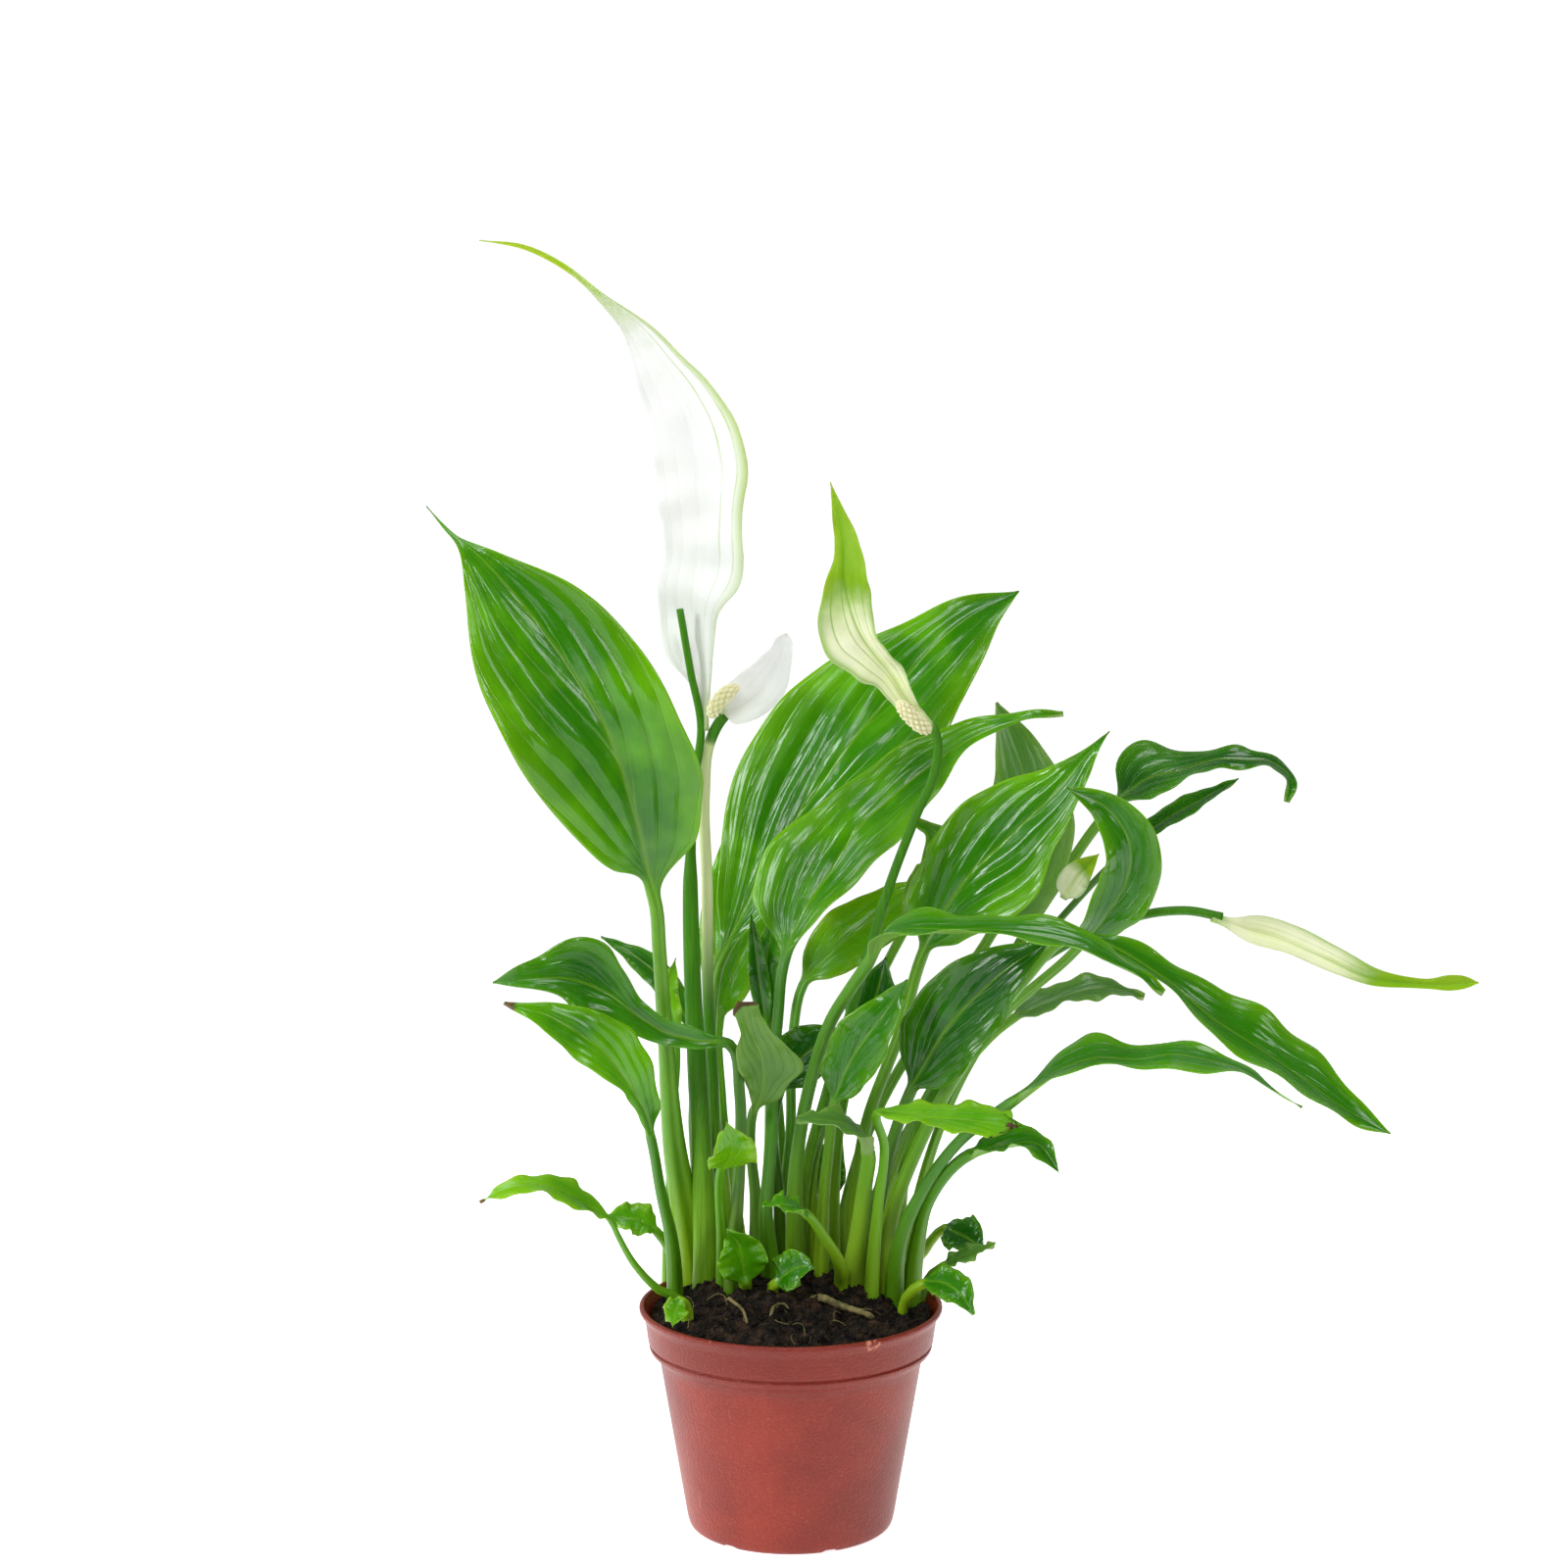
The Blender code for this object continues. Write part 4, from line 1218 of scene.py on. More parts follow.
@dataclass
class Spathe(Blade):
    """A spathe: the papery bract round a flower, with lengthwise veins and a crinkled lower part."""

    veins: float = 4.5
    veined_left: float = 0.3
    veined_right: float = 1.0
    crinkle: float = 0.9
    crinkle_length: float = 24.0
    tip_share: float = 1.0
    vein_from: float = -0.2

    def phase(self, v: Array, u: Array) -> Array:
        """Lengthwise veins: even across the spathe, and drawn together at its two ends."""
        return u * self.veins + 0.5 + 0.18 * np.sin(TAU * v) * u

    def relief(self, v: Array, u: Array, half: Array, length: float) -> Array:
        """Margin waves, shallow channels along the veins, and crinkles that fade towards the tip.

        Args:
            v: share of the spathe's length, as a column.
            u: share of the half width, from -1 to 1, as a row.
            half: half width at each station and column.
            length: length of the spathe.

        Returns:
            The height at each station and column.
        """
        reach = np.abs(u)
        start = self.seed % 7
        wave = np.sin(TAU * (self.waves * v + 0.33 * np.sign(u)) + start)
        wave = wave + 0.45 * np.sin(TAU * (2.6 * self.waves * v) + 3.0 * start)
        margin = self.ripple * reach**2 * wave * ease(v, 0.0, 0.15) * (1.0 - ease(v, 0.75, 0.95))
        channel = self.quilt * ease(half, 2.0, 9.0) * np.cos(TAU * self.phase(v, u))
        channel = channel * ease(reach, 0.1, 0.5) * (1.0 - ease(v, 0.5, 0.9))
        spot = np.stack(np.broadcast_arrays(v * length, half * u), -1)
        crease = self.crinkle * plane_waves(spot, self.crinkle_length, self.seed)
        return margin - channel + crease * ease(v, 0.02, 0.15) * (1.0 - ease(v, 0.3, 0.8))

    def marks(self, v: Array, u: Array, half: Array) -> dict[str, Array]:
        """The marks of any blade, and how strongly each part is veined.

        Args:
            v: share of the spathe's length, as a column.
            u: share of the half width, from -1 to 1, as a row.
            half: half width at each station and column.

        Returns:
            For each mark an array that spreads to the stations and columns.
        """
        marks = super().marks(v, u, half)
        across = ease(u, self.vein_from, self.vein_from + 0.5)
        share = self.veined_left + (self.veined_right - self.veined_left) * across
        marks["along"] = v * self.tip_share
        marks["veined"] = np.clip(share * (0.35 + 0.9 * ease(v, 0.05, 0.6)), 0.0, 1.0)
        return marks


@dataclass
class Stalk:
    """A flower stalk, thicker at its foot."""

    node: str
    foot: Vec2
    route: Points
    low: float
    high: float
    sheath: float = 0.0
    pale: Vec2 | None = None
    flare_height: float = 24.0
    around: int = 18

    def build(self, material: bpy.types.Material) -> bpy.types.Object:
        """A tube whose radius eases from the foot to the flower, with a ridge where its sheath ends."""
        ground = SOIL.level(self.foot)
        route = smooth_route(rooted(self.foot) + self.route, np.linspace(0.0, 1.0, 110))
        height = route[:, 2]
        share = ease(height, ground, height.max())
        flare = 0.35 * self.low * np.exp(-(height - ground) / self.flare_height)
        radii = self.low + (self.high - self.low) * share + flare
        if self.sheath:
            radii = radii + 0.75 * (1.0 - ease(height, self.sheath - 16.0, self.sheath))
        flute = 1.0 + 0.025 * np.cos(5 * full_turn(self.around)) + 0.02 * np.sin(height / 9.0)[:, None]
        surface = Surface(f"grown_{self.node}")
        pale = np.zeros_like(height)
        if self.pale:
            low, high = self.pale
            pale = ease(height, low, low + 60.0) * (1.0 - ease(height, high, high + 3.0))
        marks = {"stem": ease(height, 95.0, 190.0)[:, None], "sheath": pale[:, None]}
        surface.loft(tube_rings(route, radii[:, None] * flute, self.around), marks)
        return surface.publish(material, "stalk_green", self.node)


@dataclass
class Spadix:
    """A blunt spike covered with knobs set on crossing spirals."""

    node: str
    route: Points
    radius: float
    spirals: int = 7
    pitch: float = 3.6
    around: int = 72

    def build(self, material: bpy.types.Material) -> bpy.types.Object:
        """Radius times an egg-shaped swell, plus a knob wherever the two sets of spirals cross."""
        stations = np.linspace(0.0, 1.0, 90)
        route = smooth_route(self.route, stations)
        length = np.linalg.norm(np.diff(route, axis=0), axis=1).sum()
        swell = self.radius * np.clip(1.0 - np.abs(2.0 * stations - 1.0) ** 3.2, 0.004, 1.0) ** 0.5
        turn = self.spirals * full_turn(self.around) / 2
        climb = stations[:, None] * length / self.pitch * TAU / 2
        knob = np.abs(np.sin(turn + climb) * np.sin(turn - climb)) ** 0.8
        radii = swell[:, None] * (0.78 + 0.38 * knob)
        surface = Surface(f"grown_{self.node}")
        surface.loft(tube_rings(route, radii, self.around), {"knob": knob})
        return surface.publish(material, "spadix_cream", self.node)


@dataclass
class Root:
    """A root or a piece of old rhizome lying on the soil."""

    node: str
    route: Points
    radius: float
    lift: float = 1.2
    around: int = 14

    def build(self, material: bpy.types.Material) -> bpy.types.Object:
        """A tapering tube with ringed swellings, whose ends dip into the soil."""
        stations = np.linspace(0.0, 1.0, 60)
        route = smooth_route(self.route, stations)
        route[:, 2] += self.lift - 2.4 * self.lift * np.abs(2.0 * stations - 1.0) ** 4
        along, turn = stations[:, None], full_turn(self.around)
        ringed = 1.0 + 0.09 * np.sin(along * 55.0) + 0.08 * np.cos(3 * turn + 9.0 * along)
        taper = self.radius * (1.1 - 0.4 * along)
        surface = Surface(f"grown_{self.node}")
        surface.loft(tube_rings(route, taper * ringed, self.around, (0.0, 0.0, 1.0)))
        return surface.publish(material, "root_tan", self.node)


LEAVES = [
    Leaf("leaf_left_broad", Tone.GREEN, foot=(-39, 26),
         stem=[(-42, 20, 120), (-46, 10, 150), (-49, -4, 198), (-51, -14, 236)],
         blade=[(-52, -18, 253), (-54, -20, 262), (-59, -34, 290), (-70, -46, 327), (-91, -50, 362),
                (-119, -48, 394), (-127, -45, 400), (-136, -43, 410)],
         width=78, radius=2.6, look=(0.2, -1, 0.2), fold=12, curl=6, ripple=1.6, swell=1.5, swell_reach=85,
         depth=-0.3,
         edges=((0.06, 3, 12), (0.14, 15, 21), (0.25, 27, 28), (0.4, 37, 27), (0.55, 38, 26), (0.7, 30, 19),
                (0.82, 14, 7), (0.9, 2.5, 1.5), (0.95, 0.8, 0.8))),
    Leaf("leaf_centre_tall", Tone.GREEN, foot=(-26, 33),
         stem=[(-28, 36, 134), (-33, 44, 172), (-32, 54, 198)],
         blade=[(-30, 60, 212), (-25, 64, 223), (-9, 72, 254), (25, 80, 302), (51, 88, 333), (77, 92, 355),
                (93, 92, 364)],
         width=62, radius=2.6, look=(-0.4, -1, 0.5), fold=14, curl=0,
         edges=((0.08, 8, 5), (0.18, 16, 15), (0.3, 29, 27), (0.45, 35, 35), (0.6, 31, 38), (0.75, 20, 31),
                (0.88, 10, 18))),
    Leaf("leaf_centre_glossy", Tone.GREEN, foot=(-8, 12),
         stem=[(-10, 6, 124), (-8, 4, 150), (-7, 8, 178), (-5, 14, 204)],
         blade=[(-3, 20, 222), (2, 26, 235), (17, 32, 261), (42, 36, 289), (71, 38, 310), (93, 38, 318),
                (108, 38, 321)],
         width=43, radius=2.2, look=(-0.3, -0.8, 0.8), fold=16, curl=0, depth=0.3,
         edges=((0.08, 17, 6), (0.18, 26, 11), (0.3, 25, 19), (0.45, 18, 24), (0.6, 13, 16), (0.75, 9, 5),
                (0.88, 5, 2))),
    Leaf("leaf_right_upright", Tone.GREEN, foot=(26, 31),
         stem=[(30, 29, 154), (44, 27, 195)],
         blade=[(52, 24, 225), (57, 20, 238), (72, 14, 261), (91, 10, 281), (106, 6, 297), (116, 4, 310),
                (124, 4, 318)],
         width=50, radius=2.4, look=(-0.4, -1, 0.4), fold=12, curl=0,
         edges=((0.08, 11, 10), (0.18, 16, 17), (0.3, 20, 25), (0.45, 22, 28), (0.6, 19, 20), (0.75, 11, 12),
                (0.88, 3, 5))),
    Leaf("leaf_back_pale", Tone.GREY, foot=(20, 47),
         stem=[(29, 54, 139), (57, 69, 189)],
         blade=[(82, 80, 222), (92, 86, 240), (98, 90, 262), (97, 93, 282), (92, 95, 300), (85, 96, 317)],
         width=37, radius=2.2, look=(0.2, -1, 0.2), fold=10, curl=0),
    Leaf("leaf_right_wavy", Tone.DEEP, foot=(33, 40),
         stem=[(46, 58, 138), (78, 82, 190), (109, 101, 237)],
         blade=[(135, 112, 271), (147, 115, 281), (161, 117, 285), (177, 117, 290), (190, 116, 289),
                (202, 115, 288), (209, 112, 282), (207, 110, 273)],
         width=34, radius=2.2, look=(0, -0.5, 1), fold=8, curl=0,
         edges=((0.08, 9, 12), (0.18, 20, 15), (0.3, 19, 12), (0.45, 9, 9), (0.6, 7, 6), (0.75, 5, 6),
                (0.88, 4, 5))),
    Leaf("leaf_right_narrow", Tone.DEEP, foot=(27, 44),
         stem=[(58, 80, 158), (112, 115, 221)],
         blade=[(145, 128, 252), (160, 130, 263), (175, 130, 272), (189, 130, 280)],
         width=13, radius=1.5, look=(0, -0.5, 1), fold=10, curl=0, ripple=0.5),
    Leaf("leaf_olive_hooked", Tone.GREEN, foot=(47, 25),
         stem=[(58, 26, 150), (82, 18, 200)],
         blade=[(112, 8, 231), (122, 2, 245), (131, -2, 261), (131, -6, 276), (122, -10, 290),
                (106, -14, 299)],
         width=25, radius=2, look=(0.2, -1, 0.2), fold=14, curl=0, depth=0.5),
    Leaf("leaf_centre_arching", Tone.GREEN, foot=(2, 22),
         stem=[(2, 18, 140), (7, 10, 174), (16, 0, 205), (23, -10, 219)],
         blade=[(29, -18, 230), (35, -26, 242), (48, -36, 248), (66, -46, 249), (89, -54, 250),
                (109, -59, 245), (126, -62, 237), (140, -62, 229)],
         width=36, radius=2.6, look=(0, -0.25, 1), fold=20, curl=0, depth=0.3,
         edges=((0.08, 6, 6), (0.18, 10, 10), (0.3, 9, 14), (0.45, 9, 11), (0.6, 9, 11), (0.75, 10, 12),
                (0.88, 6, 8))),
    Leaf("leaf_right_drooping", Tone.GREEN, foot=(36, 10),
         stem=[(39, 8, 120), (50, 4, 152), (69, -1, 190), (90, -5, 221)],
         blade=[(108, -8, 239), (126, -12, 236), (147, -18, 223), (164, -22, 210), (182, -26, 198),
                (201, -29, 185), (216, -30, 175), (231, -30, 166)],
         width=34, radius=2.6, look=(0.4, -0.6, 0.9), fold=14, curl=0, depth=1.0,
         edges=((0.08, 4, 5), (0.18, 7, 6), (0.3, 10, 8), (0.45, 14, 11), (0.6, 15, 13), (0.75, 16, 12),
                (0.88, 7, 6))),
    Leaf("leaf_right_lower", Tone.GREEN, foot=(41, 2),
         stem=[(43, -6, 117), (53, -16, 143), (67, -28, 165)],
         blade=[(82, -38, 179), (94, -45, 190), (110, -56, 202), (130, -66, 204), (144, -71, 207),
                (162, -74, 204), (176, -75, 197), (191, -75, 188)],
         width=36, radius=2.4, look=(0, -0.25, 1), fold=8, curl=0, depth=0.8,
         edges=((0.08, 6, 6), (0.18, 16, 11), (0.3, 15, 17), (0.45, 11, 12), (0.6, 10, 16), (0.75, 5, 9),
                (0.88, 4, 4))),
    Leaf("leaf_right_back", Tone.GREY, foot=(40, 23),
         stem=[(51, 38, 148), (71, 54, 174)],
         blade=[(90, 62, 191), (107, 70, 197), (124, 75, 200), (137, 77, 200), (146, 78, 198)],
         width=28, radius=2, look=(0, -0.4, 1), fold=10, curl=0, depth=0.6,
         edges=((0.12, 6, 5), (0.3, 9, 6), (0.5, 9, 7), (0.7, 7, 7), (0.88, 4, 5))),
    Leaf("leaf_front_torn", Tone.OLIVE, foot=(32, -1),
         stem=[(34, -10, 130), (36, -26, 161)],
         blade=[(33, -40, 177), (46, -55, 180), (60, -66, 181), (72, -73, 181), (82, -77, 181)],
         width=28, radius=1.8, look=(0, -0.5, 1), fold=10, curl=0, dry=0.025, torn=2.0,
         edges=((0.12, 4, 4), (0.3, 6, 6), (0.5, 8, 7), (0.7, 9, 9), (0.88, 9, 10), (0.97, 8, 9))),
    Leaf("leaf_front_grey", Tone.GREY, foot=(25, 8),
         stem=[(27, 0, 118), (29, -11, 141)],
         blade=[(30, -22, 157), (24, -34, 169), (14, -44, 175), (2, -50, 177)],
         width=18, radius=2.8, look=(0, -0.6, 1), fold=10, curl=0),
    Leaf("leaf_right_folded", Tone.GREEN, foot=(48, 8),
         stem=[(50, 2, 114), (54, -11, 135)],
         blade=[(69, -26, 157), (84, -38, 164), (94, -45, 166), (102, -52, 156)],
         width=28, radius=2.4, look=(0, -0.5, 1), fold=24, curl=0, depth=0.7,
         edges=((0.12, 6, 5), (0.3, 9, 6), (0.5, 9, 7), (0.7, 5, 8), (0.88, 2, 5))),
    Leaf("leaf_left_folded", Tone.DEEP, foot=(-23, -1),
         stem=[(-22, -6, 120), (-20, -10, 152), (-20, -12, 178)],
         blade=[(-24, -14, 198), (-36, -17, 200), (-48, -20, 204), (-60, -24, 212), (-72, -28, 222),
                (-85, -31, 227.5), (-100, -33, 228), (-114, -34, 226.5)],
         width=32, radius=2.2, look=(0.1, -1, 0.5), fold=22, curl=0,
         edges=((0.08, 3, 3.5), (0.16, 4, 5), (0.3, 6.5, 5), (0.45, 10.5, 7), (0.56, 15.5, 11),
                (0.63, 16, 17), (0.69, 11, 17.5), (0.82, 5.5, 9), (0.92, 3, 4.5))),
    Leaf("leaf_left_lower", Tone.GREEN, foot=(-46, 6),
         stem=[(-47, 1, 114), (-51, -10, 138)],
         blade=[(-54, -24, 162), (-57, -32, 177), (-66, -42, 194), (-77, -50, 208), (-91, -55, 218),
                (-108, -58, 224)],
         width=34, radius=2, look=(0, -0.8, 0.7), fold=12, curl=0, dry=0.08,
         edges=((0.08, 3, 4), (0.18, 3.5, 7), (0.3, 5, 13), (0.45, 8, 15), (0.6, 10, 12), (0.75, 9, 8),
                (0.88, 4.5, 3))),
    Leaf("leaf_hanging_grey", Tone.GREY, foot=(-14, 24),
         stem=[(-14, 18, 126), (-16, 8, 156)],
         blade=[(-15, 0, 167), (-11, -6, 179.5), (-11, -10, 191), (-16, -16, 204), (-20, -22, 217)],
         width=30, radius=1.9, look=(0.2, -1, 0.3), fold=16, curl=0, dry=0.1,
         edges=((0.1, 3, 4), (0.25, 7, 9), (0.38, 10, 16), (0.5, 12, 11), (0.62, 11, 8), (0.78, 5, 7),
                (0.9, 4, 6), (0.97, 4, 5))),
    Leaf("leaf_middle_dark", Tone.DEEP, foot=(-4, 32),
         stem=[(-5, 32, 128), (-7, 33, 152)],
         blade=[(-4, 34, 168), (2, 35, 179), (11, 35, 187), (21, 35, 193)],
         width=24, radius=1.8, look=(0, -1, 0.5), fold=10, curl=0, depth=0.8),
    Leaf("leaf_middle_mid", Tone.GREEN, foot=(12, 16),
         stem=[(13, 15, 128), (15, 10, 150)],
         blade=[(17, 3, 170), (23, -6, 189), (33, -15, 206), (45, -20, 225)],
         width=24, radius=2, look=(-0.3, -1, 0.3), fold=10, curl=0, depth=0.8),
    Leaf("leaf_middle_broad", Tone.DEEP, foot=(30, 20),
         stem=[(34, 16, 122), (40, 8, 153)],
         blade=[(47, -1, 176), (53, -8, 190), (61, -15, 205), (72, -21, 219), (85, -27, 232), (99, -31, 242)],
         width=36, radius=2.4, look=(-0.3, -1, 0.4), fold=8, curl=0, depth=0.4),
    Leaf("leaf_middle_shade", Tone.DEEP, foot=(8, 36),
         stem=[(10, 36, 141), (16, 36, 165)],
         blade=[(25, 36, 188), (33, 36, 203), (38, 37, 222)],
         width=20, radius=2, look=(-0.2, -1, 0.3), fold=10, curl=0, depth=0.8),
    Leaf("leaf_olive_behind", Tone.OLIVE, foot=(-5, 40),
         stem=[(0, 44, 150), (1, 51, 188)],
         blade=[(5, 54, 207), (17, 55, 221), (37, 56, 235), (62, 56, 251)],
         width=26, radius=2, look=(-0.3, -1, 0.4), fold=8, curl=0),
    Leaf("leaf_back_yellow", Tone.OLIVE, foot=(-20, 42),
         stem=[(-28, 60, 158)],
         blade=[(-29, 72, 189), (-25, 76, 205), (-17, 80, 221), (-7, 82, 235)],
         width=20, radius=1.8, look=(0.1, -1, 0.2), fold=8, curl=0),
    Leaf("leaf_back_spear", Tone.DEEP, foot=(-12, 40),
         stem=[(-9, 46, 150)],
         blade=[(-10, 48, 190), (-13, 48, 213), (-16, 47, 238)],
         width=9, radius=1.6, look=(0, -1, 0.2), fold=20, curl=0),
    Leaf("leaf_back_green", Tone.GREEN, foot=(-2, 48),
         stem=[(-4, 50, 150)],
         blade=[(-8, 50, 190), (-10, 50, 214), (-6, 50, 240)],
         width=13, radius=1.6, look=(0, -1, 0.2), fold=14, curl=0),
    Leaf("leaf_centre_hook", Tone.OLIVE, foot=(17, 36),
         stem=[(22, 41, 165), (37, 46, 214)],
         blade=[(46, 45, 232), (54, 42, 248), (60, 37, 262), (58, 31, 273), (48, 27, 279)],
         width=20, radius=1.9, look=(0.2, -1, 0.2), fold=14, curl=0),
    Leaf("leaf_front_small", Tone.OLIVE, foot=(-27, 6),
         stem=[(-27, -3, 117), (-28, -14, 140)],
         blade=[(-27, -24, 151), (-23, -33, 160), (-25, -40, 173)],
         width=20, radius=1.7, look=(0.2, -1, 0.5), fold=12, curl=0),
    Leaf("leaf_front_tongue", Tone.GREEN, foot=(20, 4),
         stem=[(20, -3, 104), (13, -18, 122)],
         blade=[(6, -28, 134), (-2, -36, 140), (-11, -40, 141)],
         width=13, radius=1.8, look=(0, -0.5, 1), fold=10, curl=0),
    Leaf("leaf_base_upright", Tone.GREEN, foot=(-18, -4),
         stem=[(-18, -5, 98)],
         blade=[(-18, -8, 101), (-19, -12, 110), (-21, -15, 119), (-25, -18, 124)],
         width=20, radius=1.6, look=(0.1, -1, 0.3), fold=10, curl=0),
    Leaf("leaf_base_flat", Tone.GREEN, foot=(-7, -4),
         stem=[(-7, -7, 98)],
         blade=[(-5, -10, 101), (-2, -14, 106), (3, -18, 110), (9, -21, 111)],
         width=17, radius=1.5, look=(-0.4, -1, 0.6), fold=10, curl=0),
    Leaf("leaf_left_low", Tone.OLIVE, foot=(-44, -4),
         stem=[(-52, -9, 98), (-61, -16, 110), (-67, -25, 124)],
         blade=[(-70, -30, 132), (-82, -38, 142), (-97, -44, 149), (-109, -47, 148), (-119, -48, 144)],
         width=22, radius=1.1, look=(0, -0.6, 1), fold=14, curl=0, dry=0.06,
         edges=((0.12, 5, 5), (0.3, 7, 7), (0.5, 7, 6), (0.7, 5, 4), (0.88, 2.5, 2))),
    Leaf("leaf_left_stub", Tone.OLIVE, foot=(-44, 30),
         stem=[(-50, 28, 106)],
         blade=[(-54, 26, 112), (-62, 25, 117), (-74, 23, 120)],
         width=15, radius=1.4, look=(0, -0.8, 1), fold=10, curl=0),
    Leaf("leaf_left_scrap", Tone.OLIVE, foot=(-40, -22),
         stem=[(-42, -28, 99)],
         blade=[(-43, -31, 100), (-45, -37, 97), (-46, -43, 93)],
         width=10, radius=1.3, look=(0.2, -1, 0.6), fold=8, curl=0),
    Leaf("leaf_right_dark_low", Tone.DEEP, foot=(42, 33),
         stem=[(53, 32, 101), (59, 30, 110)],
         blade=[(62, 27, 113), (68, 22, 112), (77, 15, 108)],
         width=18, radius=1.5, look=(0.3, -1, 0.6), fold=10, curl=0),
    Leaf("leaf_right_thin", Tone.GREY, foot=(52, 14),
         stem=[(57, 12, 99)],
         blade=[(61, 11, 102), (70, 9, 107), (81, 7, 113)],
         width=8, radius=1.2, look=(0, -0.7, 1), fold=10, curl=0),
    Leaf("leaf_right_rim", Tone.GREEN, foot=(44, -8),
         stem=[(48, -12, 99)],
         blade=[(52, -14, 102), (58, -19, 105), (65, -24, 102), (71, -27, 93)],
         width=15, radius=1.3, look=(0, -0.9, 0.8), fold=8, curl=0),
    Leaf("leaf_inner_lower", Tone.DEEP, foot=(14, 48),
         stem=[(16, 50, 110)],
         blade=[(16, 51, 118), (15, 52, 133), (21, 53, 145)],
         width=16, radius=1.6, look=(0.1, -1, 0.2), fold=10, curl=0),
    Leaf("leaf_left_inner", Tone.DEEP, foot=(-36, 38),
         stem=[(-40, 46, 150)],
         blade=[(-41, 50, 190), (-52, 54, 209), (-64, 57, 219), (-77, 59, 226)],
         width=12, radius=1.5, look=(0, -1, 0.6), fold=14, curl=0),
    Leaf("leaf_left_curl", Tone.OLIVE, foot=(-50, 36),
         stem=[(-48, 36, 150)],
         blade=[(-46, 36, 190), (-49, 36, 208), (-46, 36, 222)],
         width=9, radius=1.4, look=(0.2, -1, 0.2), fold=14, curl=0),
    Leaf("leaf_back_strip", Tone.GREEN, foot=(-28, 44),
         stem=[(-31, 62, 150)],
         blade=[(-32, 82, 195), (-31, 90, 230), (-28, 95, 260)],
         width=13, radius=1.6, look=(0, -1, 0.2), fold=12, curl=0),
]

STALKS = [
    Stalk("stalk_tall", (-34, 14),
          [(-35, 14, 138), (-37, 10, 180), (-39, 8, 228), (-39, 8, 276), (-37, 8, 302), (-35, 7, 318),
           (-39, 4, 342), (-43, 4, 366)],
          low=3.6, high=1.4, sheath=272),
    Stalk("stalk_horn", (-30, 24),
          [(-31, 22, 170), (-33, 18, 217), (-33, 16, 256), (-34, 14, 292), (-32, 11, 312), (-28, 8, 321),
           (-25, 6, 325)],
          low=2.4, high=2.2, pale=(200, 312)),
    Stalk("stalk_middle", (4, 30),
          [(6, 30, 134), (15, 26, 171), (24, 20, 204), (32, 15, 233), (39, 11, 257), (49, 7, 285),
           (56, 5, 303), (57, 4, 314), (55, 3, 321)],
          low=2.4, high=1.8),
    Stalk("stalk_bud", (43, 16),
          [(48, 18, 150), (69, 20, 189), (98, 22, 223), (125, 24, 237), (146, 24, 243), (158, 24, 243.5),
           (171, 24, 241)],
          low=2.6, high=1.8),
]

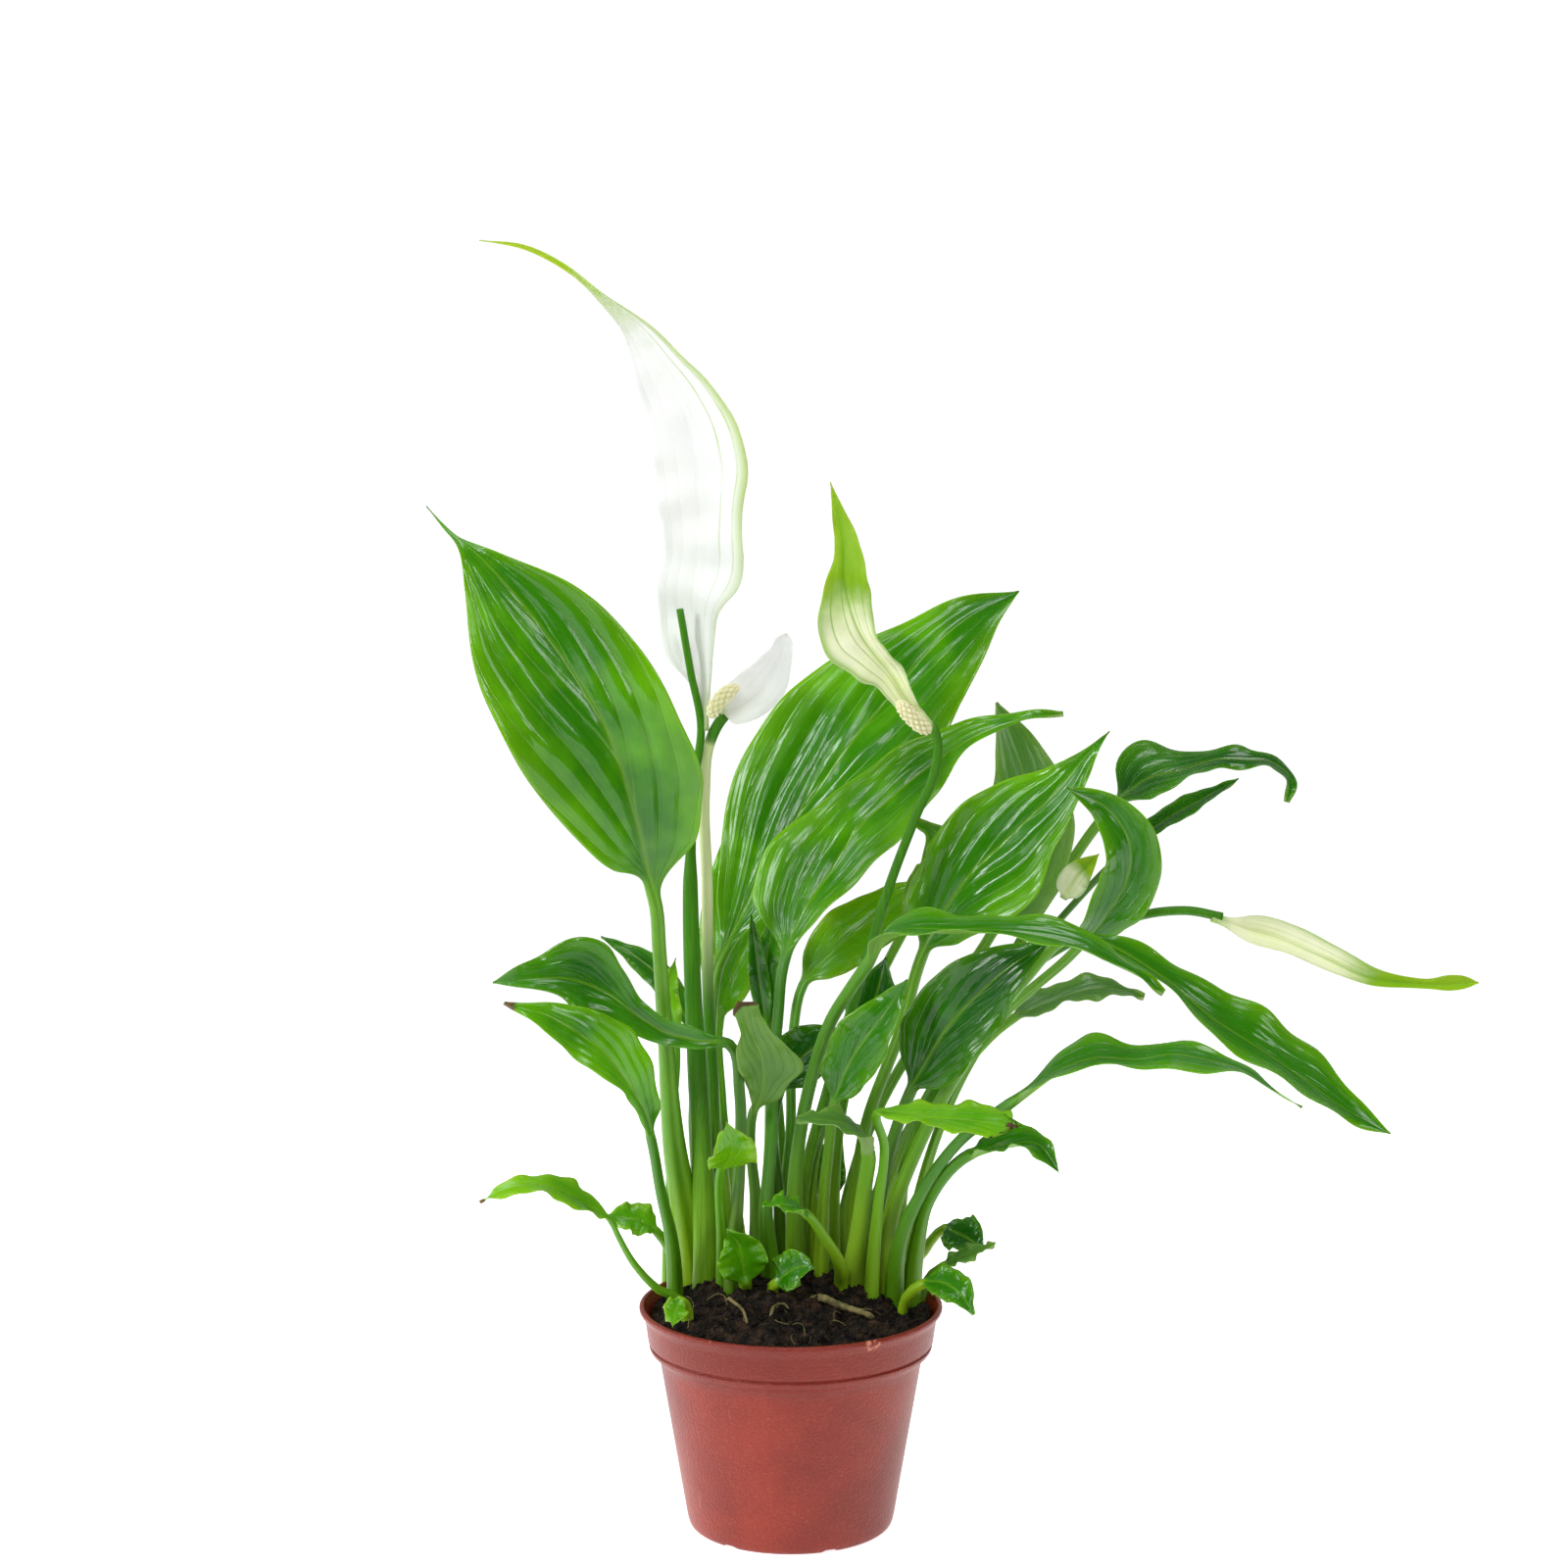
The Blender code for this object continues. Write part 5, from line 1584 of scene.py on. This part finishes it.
SPATHES = [
    Spathe("spathe_tall", Bract.WHITE, None, [],
           [(-34, 8, 318), (-35, 8, 339), (-38, 8, 355), (-38, 8, 370), (-36, 8, 389), (-35.6, 8, 411),
            (-38, 8, 430), (-44, 8, 449), (-53, 8, 464), (-63, 8, 477), (-74, 8, 487), (-88, 8, 498),
            (-102, 8, 504.5), (-119, 8, 507)],
           width=46, radius=2.2, look=(-0.35, -1.0, 0.1), fold=8, curl=24, ripple=1.3, waves=3.0, quilt=0.08,
           crinkle=1.0, veined_left=0.0, veins=3.2, vein_from=0.1,
           edges=((0.03, 2, 4), (0.08, 6, 6), (0.14, 12, 10), (0.2, 14, 13), (0.25, 14, 21), (0.3, 13, 22),
                  (0.37, 15, 21), (0.43, 16, 25), (0.49, 16, 25), (0.55, 15, 19), (0.6, 13, 13),
                  (0.66, 8, 8.5), (0.72, 3.5, 4.5), (0.78, 2, 2), (0.86, 1.4, 1.4), (0.94, 0.9, 0.9))),
    Spathe("spathe_horn", Bract.WHITE, None, [],
           [(-27, 6, 326), (-22, 4, 327), (-15, 2, 331.5), (-8, 1, 339), (-3.5, 0, 348), (-1.6, 0, 357)],
           width=28, radius=1.8, look=(-0.2, -1.0, 0.4), fold=14, curl=30, ripple=0.5, waves=1.5, quilt=0.1,
           veins=3.5,
           veined_left=0.02, veined_right=0.04, crinkle=0.4, tip_share=0.3,
           edges=((0.06, 6, 5), (0.16, 9.5, 8), (0.35, 11, 11), (0.55, 9.5, 11), (0.75, 7, 7.5),
                  (0.88, 4.6, 5), (0.96, 3.2, 3.4))),
    Spathe("spathe_middle", Bract.CREAM, None, [],
           [(54, 3, 320), (45, -2, 332), (37, -6, 343), (27, -10, 357), (21, -12, 374), (20, -11, 393),
            (15, -8, 416)],
           width=30, radius=2.0, look=(-0.2, -1.0, -0.1), fold=20, curl=20, ripple=2.0, waves=3.4,
           quilt=0.4, veins=2.6,
           veined_left=1.0, veined_right=1.0, crinkle=0.9,
           edges=((0.06, 5, 2.5), (0.15, 6.5, 4.5), (0.25, 7.5, 7), (0.35, 11, 7.5), (0.45, 16.5, 8.5),
                  (0.55, 13.5, 11), (0.62, 9, 12), (0.7, 5.5, 11), (0.85, 3, 5))),
    Spathe("spathe_bud", Bract.CREAM, None, [],
           [(167, 24, 241), (178, 24, 237), (192, 24, 233), (211, 22, 225), (230, 20, 217), (248, 18, 215),
            (261, 17, 215), (272, 16, 216)],
           width=19, radius=2.0, look=(0.1, -1.0, 0.6), fold=20, curl=40, ripple=0.5, waves=2.0,
           quilt=0.2, veins=3.5,
           veined_left=1.0, veined_right=0.4, crinkle=0.3,
           edges=((0.06, 3, 6), (0.15, 6.5, 11), (0.3, 8, 10), (0.45, 6.8, 8), (0.6, 5, 6), (0.75, 3, 3.8),
                  (0.82, 2.8, 3.2), (0.9, 4.2, 4.6), (0.96, 3, 3))),
    Spathe("spathe_hidden", Bract.CREAM, None, [],
           [(108, 26, 248), (114, 26, 258), (122, 26, 266)],
           width=14, radius=1.6, look=(0.0, -1.0, 0.3), fold=20, curl=20, rise=0.6, fall=1.1, ripple=0.6,
           quilt=0.2, veins=3.5, crinkle=0.3),
]

SPADICES = [
    Spadix("spadix_horn", [(-31, 2, 324), (-29, -2, 329), (-25, -4, 334), (-20, -4, 337)], radius=2.9),
    Spadix("spadix_middle", [(54, -3, 319), (50, -6, 322), (45, -8, 327), (41, -9, 332)], radius=2.9),
]

ROOTS = [
    Root("rhizome", [(8, -14, 96.6), (13, -18, 96.2), (18, -23, 95.2), (24, -27, 94.2), (32, -28, 93.8)],
         radius=1.5),
    Root("root_left", [(-25, -16, 97.0), (-23, -22, 96.2), (-19, -28, 94.6), (-17, -33, 93.2)], radius=0.7),
    Root("root_middle", [(-8, -30, 94.2), (-6, -26, 95.4), (-1, -24, 96.4)], radius=0.6),
]


# ---------------------------------------------------------------- the studio

WHITE = (1.0, 1.0, 1.0)


@dataclass(frozen=True)
class Lamp:
    """A soft box: where it stands and its width and height in metres, its watts, and its tint."""

    name: str
    place: Vec3
    size: Vec2
    power: float
    colour: Colour = WHITE

    def build(self, target: Vec3) -> None:
        """Sets up the lamp, turned so that it shines at the target."""
        data = bpy.data.lights.new(self.name, "AREA")
        data.shape, data.energy, data.color = "RECTANGLE", self.power, self.colour
        data.size, data.size_y = self.size
        item = placed(self.name, data)
        aim = unit(np.array(target) - np.array(self.place))
        item.location = self.place
        item.rotation_euler = (np.arccos(-aim[2]), 0.0, np.arctan2(-aim[0], aim[1]))


@dataclass
class Studio:
    """Pale floor, bright surround, soft lamps and the camera; sizes here are metres."""

    eye: Vec3 = (-0.0027, -1.5, 0.536)
    pitch: float = 9.01
    lens: float = 89.87
    middle: Vec3 = (0.0, 0.0, 0.24)
    floor_radius: float = 0.9
    floor_sides: int = 96
    front_level: float = 0.09
    back_level: float = 1.05
    mirrored_level: float = 0.45
    lamps: tuple[Lamp, ...] = (
        Lamp("key", (-1.5, -0.9, 0.95), (0.35, 1.2), 20.0, (0.96, 0.99, 1.0)),
        Lamp("high", (-0.35, -1.45, 1.6), (0.9, 0.25), 8.0, (0.96, 0.99, 1.0)),
        Lamp("near", (-0.25, -1.65, 0.95), (0.14, 0.6), 4.0),
        Lamp("side", (1.3, -1.05, 0.95), (0.32, 1.2), 8.5),
        Lamp("back", (-1.6, 0.35, 0.55), (0.7, 1.2), 9.0),
        Lamp("top", (0.15, -0.3, 2.0), (1.1, 0.5), 11.0, (0.97, 0.99, 1.0)),
    )

    def camera(self) -> None:
        """A camera a little above the plant, tilted down."""
        data = bpy.data.cameras.new("camera")
        data.lens, data.sensor_width, data.clip_start, data.clip_end = self.lens, 36.0, 0.05, 100.0
        item = placed("camera", data)
        item.location = self.eye
        item.rotation_euler = (np.radians(90.0 - self.pitch), 0.0, 0.0)
        bpy.context.scene.camera = item

    def surround(self) -> None:
        """A white surround to look at, dimmer in front of the plant and in what its wax mirrors."""
        world = bpy.data.worlds.new("surround")
        world.use_nodes = True
        bpy.context.scene.world = world
        g = NodeTree(world.node_tree)
        split = g.add("ShaderNodeSeparateXYZ", {0: g.add("ShaderNodeTexCoord", {}).outputs["Generated"]})
        level = g.spread(split.outputs["Y"], 0.0, 0.85, self.front_level, self.back_level)
        path = g.add("ShaderNodeLightPath", {}).outputs
        seen = g.add("ShaderNodeMix", {0: path["Is Camera Ray"], 2: level, 3: self.back_level}).outputs[0]
        mirrored = g.scaled(path["Is Glossy Ray"], self.mirrored_level - 1.0, 1.0)
        background = world.node_tree.nodes["Background"]
        g.feed(background.inputs["Strength"], g.times(seen, mirrored))
        g.feed(background.inputs["Color"], WHITE)

    def floor(self) -> None:
        """A round white floor that glows a little behind the plant and at its rim, to meet the surround."""
        turn = full_turn(self.floor_sides)
        rim = self.floor_radius * np.stack([np.cos(turn), np.sin(turn), 0.0 * turn], -1)
        mesh = bpy.data.meshes.new("studio_floor")
        mesh.from_pydata(rim.tolist(), [], [list(range(self.floor_sides))])
        g = Graph("studio_floor", Roughness=0.9, Specular_IOR_Level=0.1, Base_Color=(0.85, 0.85, 0.85),
                  Emission_Color=WHITE)
        behind = g.scaled(g.spread(g.axis("Y"), -0.45, -0.08), 0.68, 0.08)
        rim_glow = g.spread(g.distance((0.0, 0.0, 0.0)), 0.5, self.floor_radius)
        g.feed(g.shader.inputs["Emission Strength"], g.math("MAXIMUM", behind, rim_glow))
        mesh.materials.append(g.material)
        placed("studio_floor", mesh)

    def build(self) -> None:
        """Sets the camera, the surround, the floor and the lamps."""
        bpy.context.scene.view_settings.view_transform = "Standard"
        self.camera()
        self.surround()
        self.floor()
        for lamp in self.lamps:
            lamp.build(self.middle)


def main() -> None:
    """Builds the studio and every piece."""
    logging.basicConfig(level=logging.INFO, format="%(message)s")
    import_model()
    Studio().build()
    Pot().build(POT_FINISH.build())
    root_tan = ROOT_FINISH.build()
    SOIL.build(SOIL_FINISH.build(), root_tan)
    materials = {finish.tone.value: finish.build() for finish in LEAF_FINISHES}
    materials |= {finish.name: finish.build() for finish in SPATHE_FINISHES}
    for blade in [*LEAVES, *SPATHES]:
        blade.build(materials)
    stalk_green = STALK_FINISH.build()
    for stalk in STALKS:
        stalk.build(stalk_green)
    spadix_cream = SPADIX_FINISH.build()
    for spadix in SPADICES:
        spadix.build(spadix_cream)
    for root in ROOTS:
        root.build(root_tan)
    bpy.context.view_layer.update()


if __name__ == "__main__":
    main()
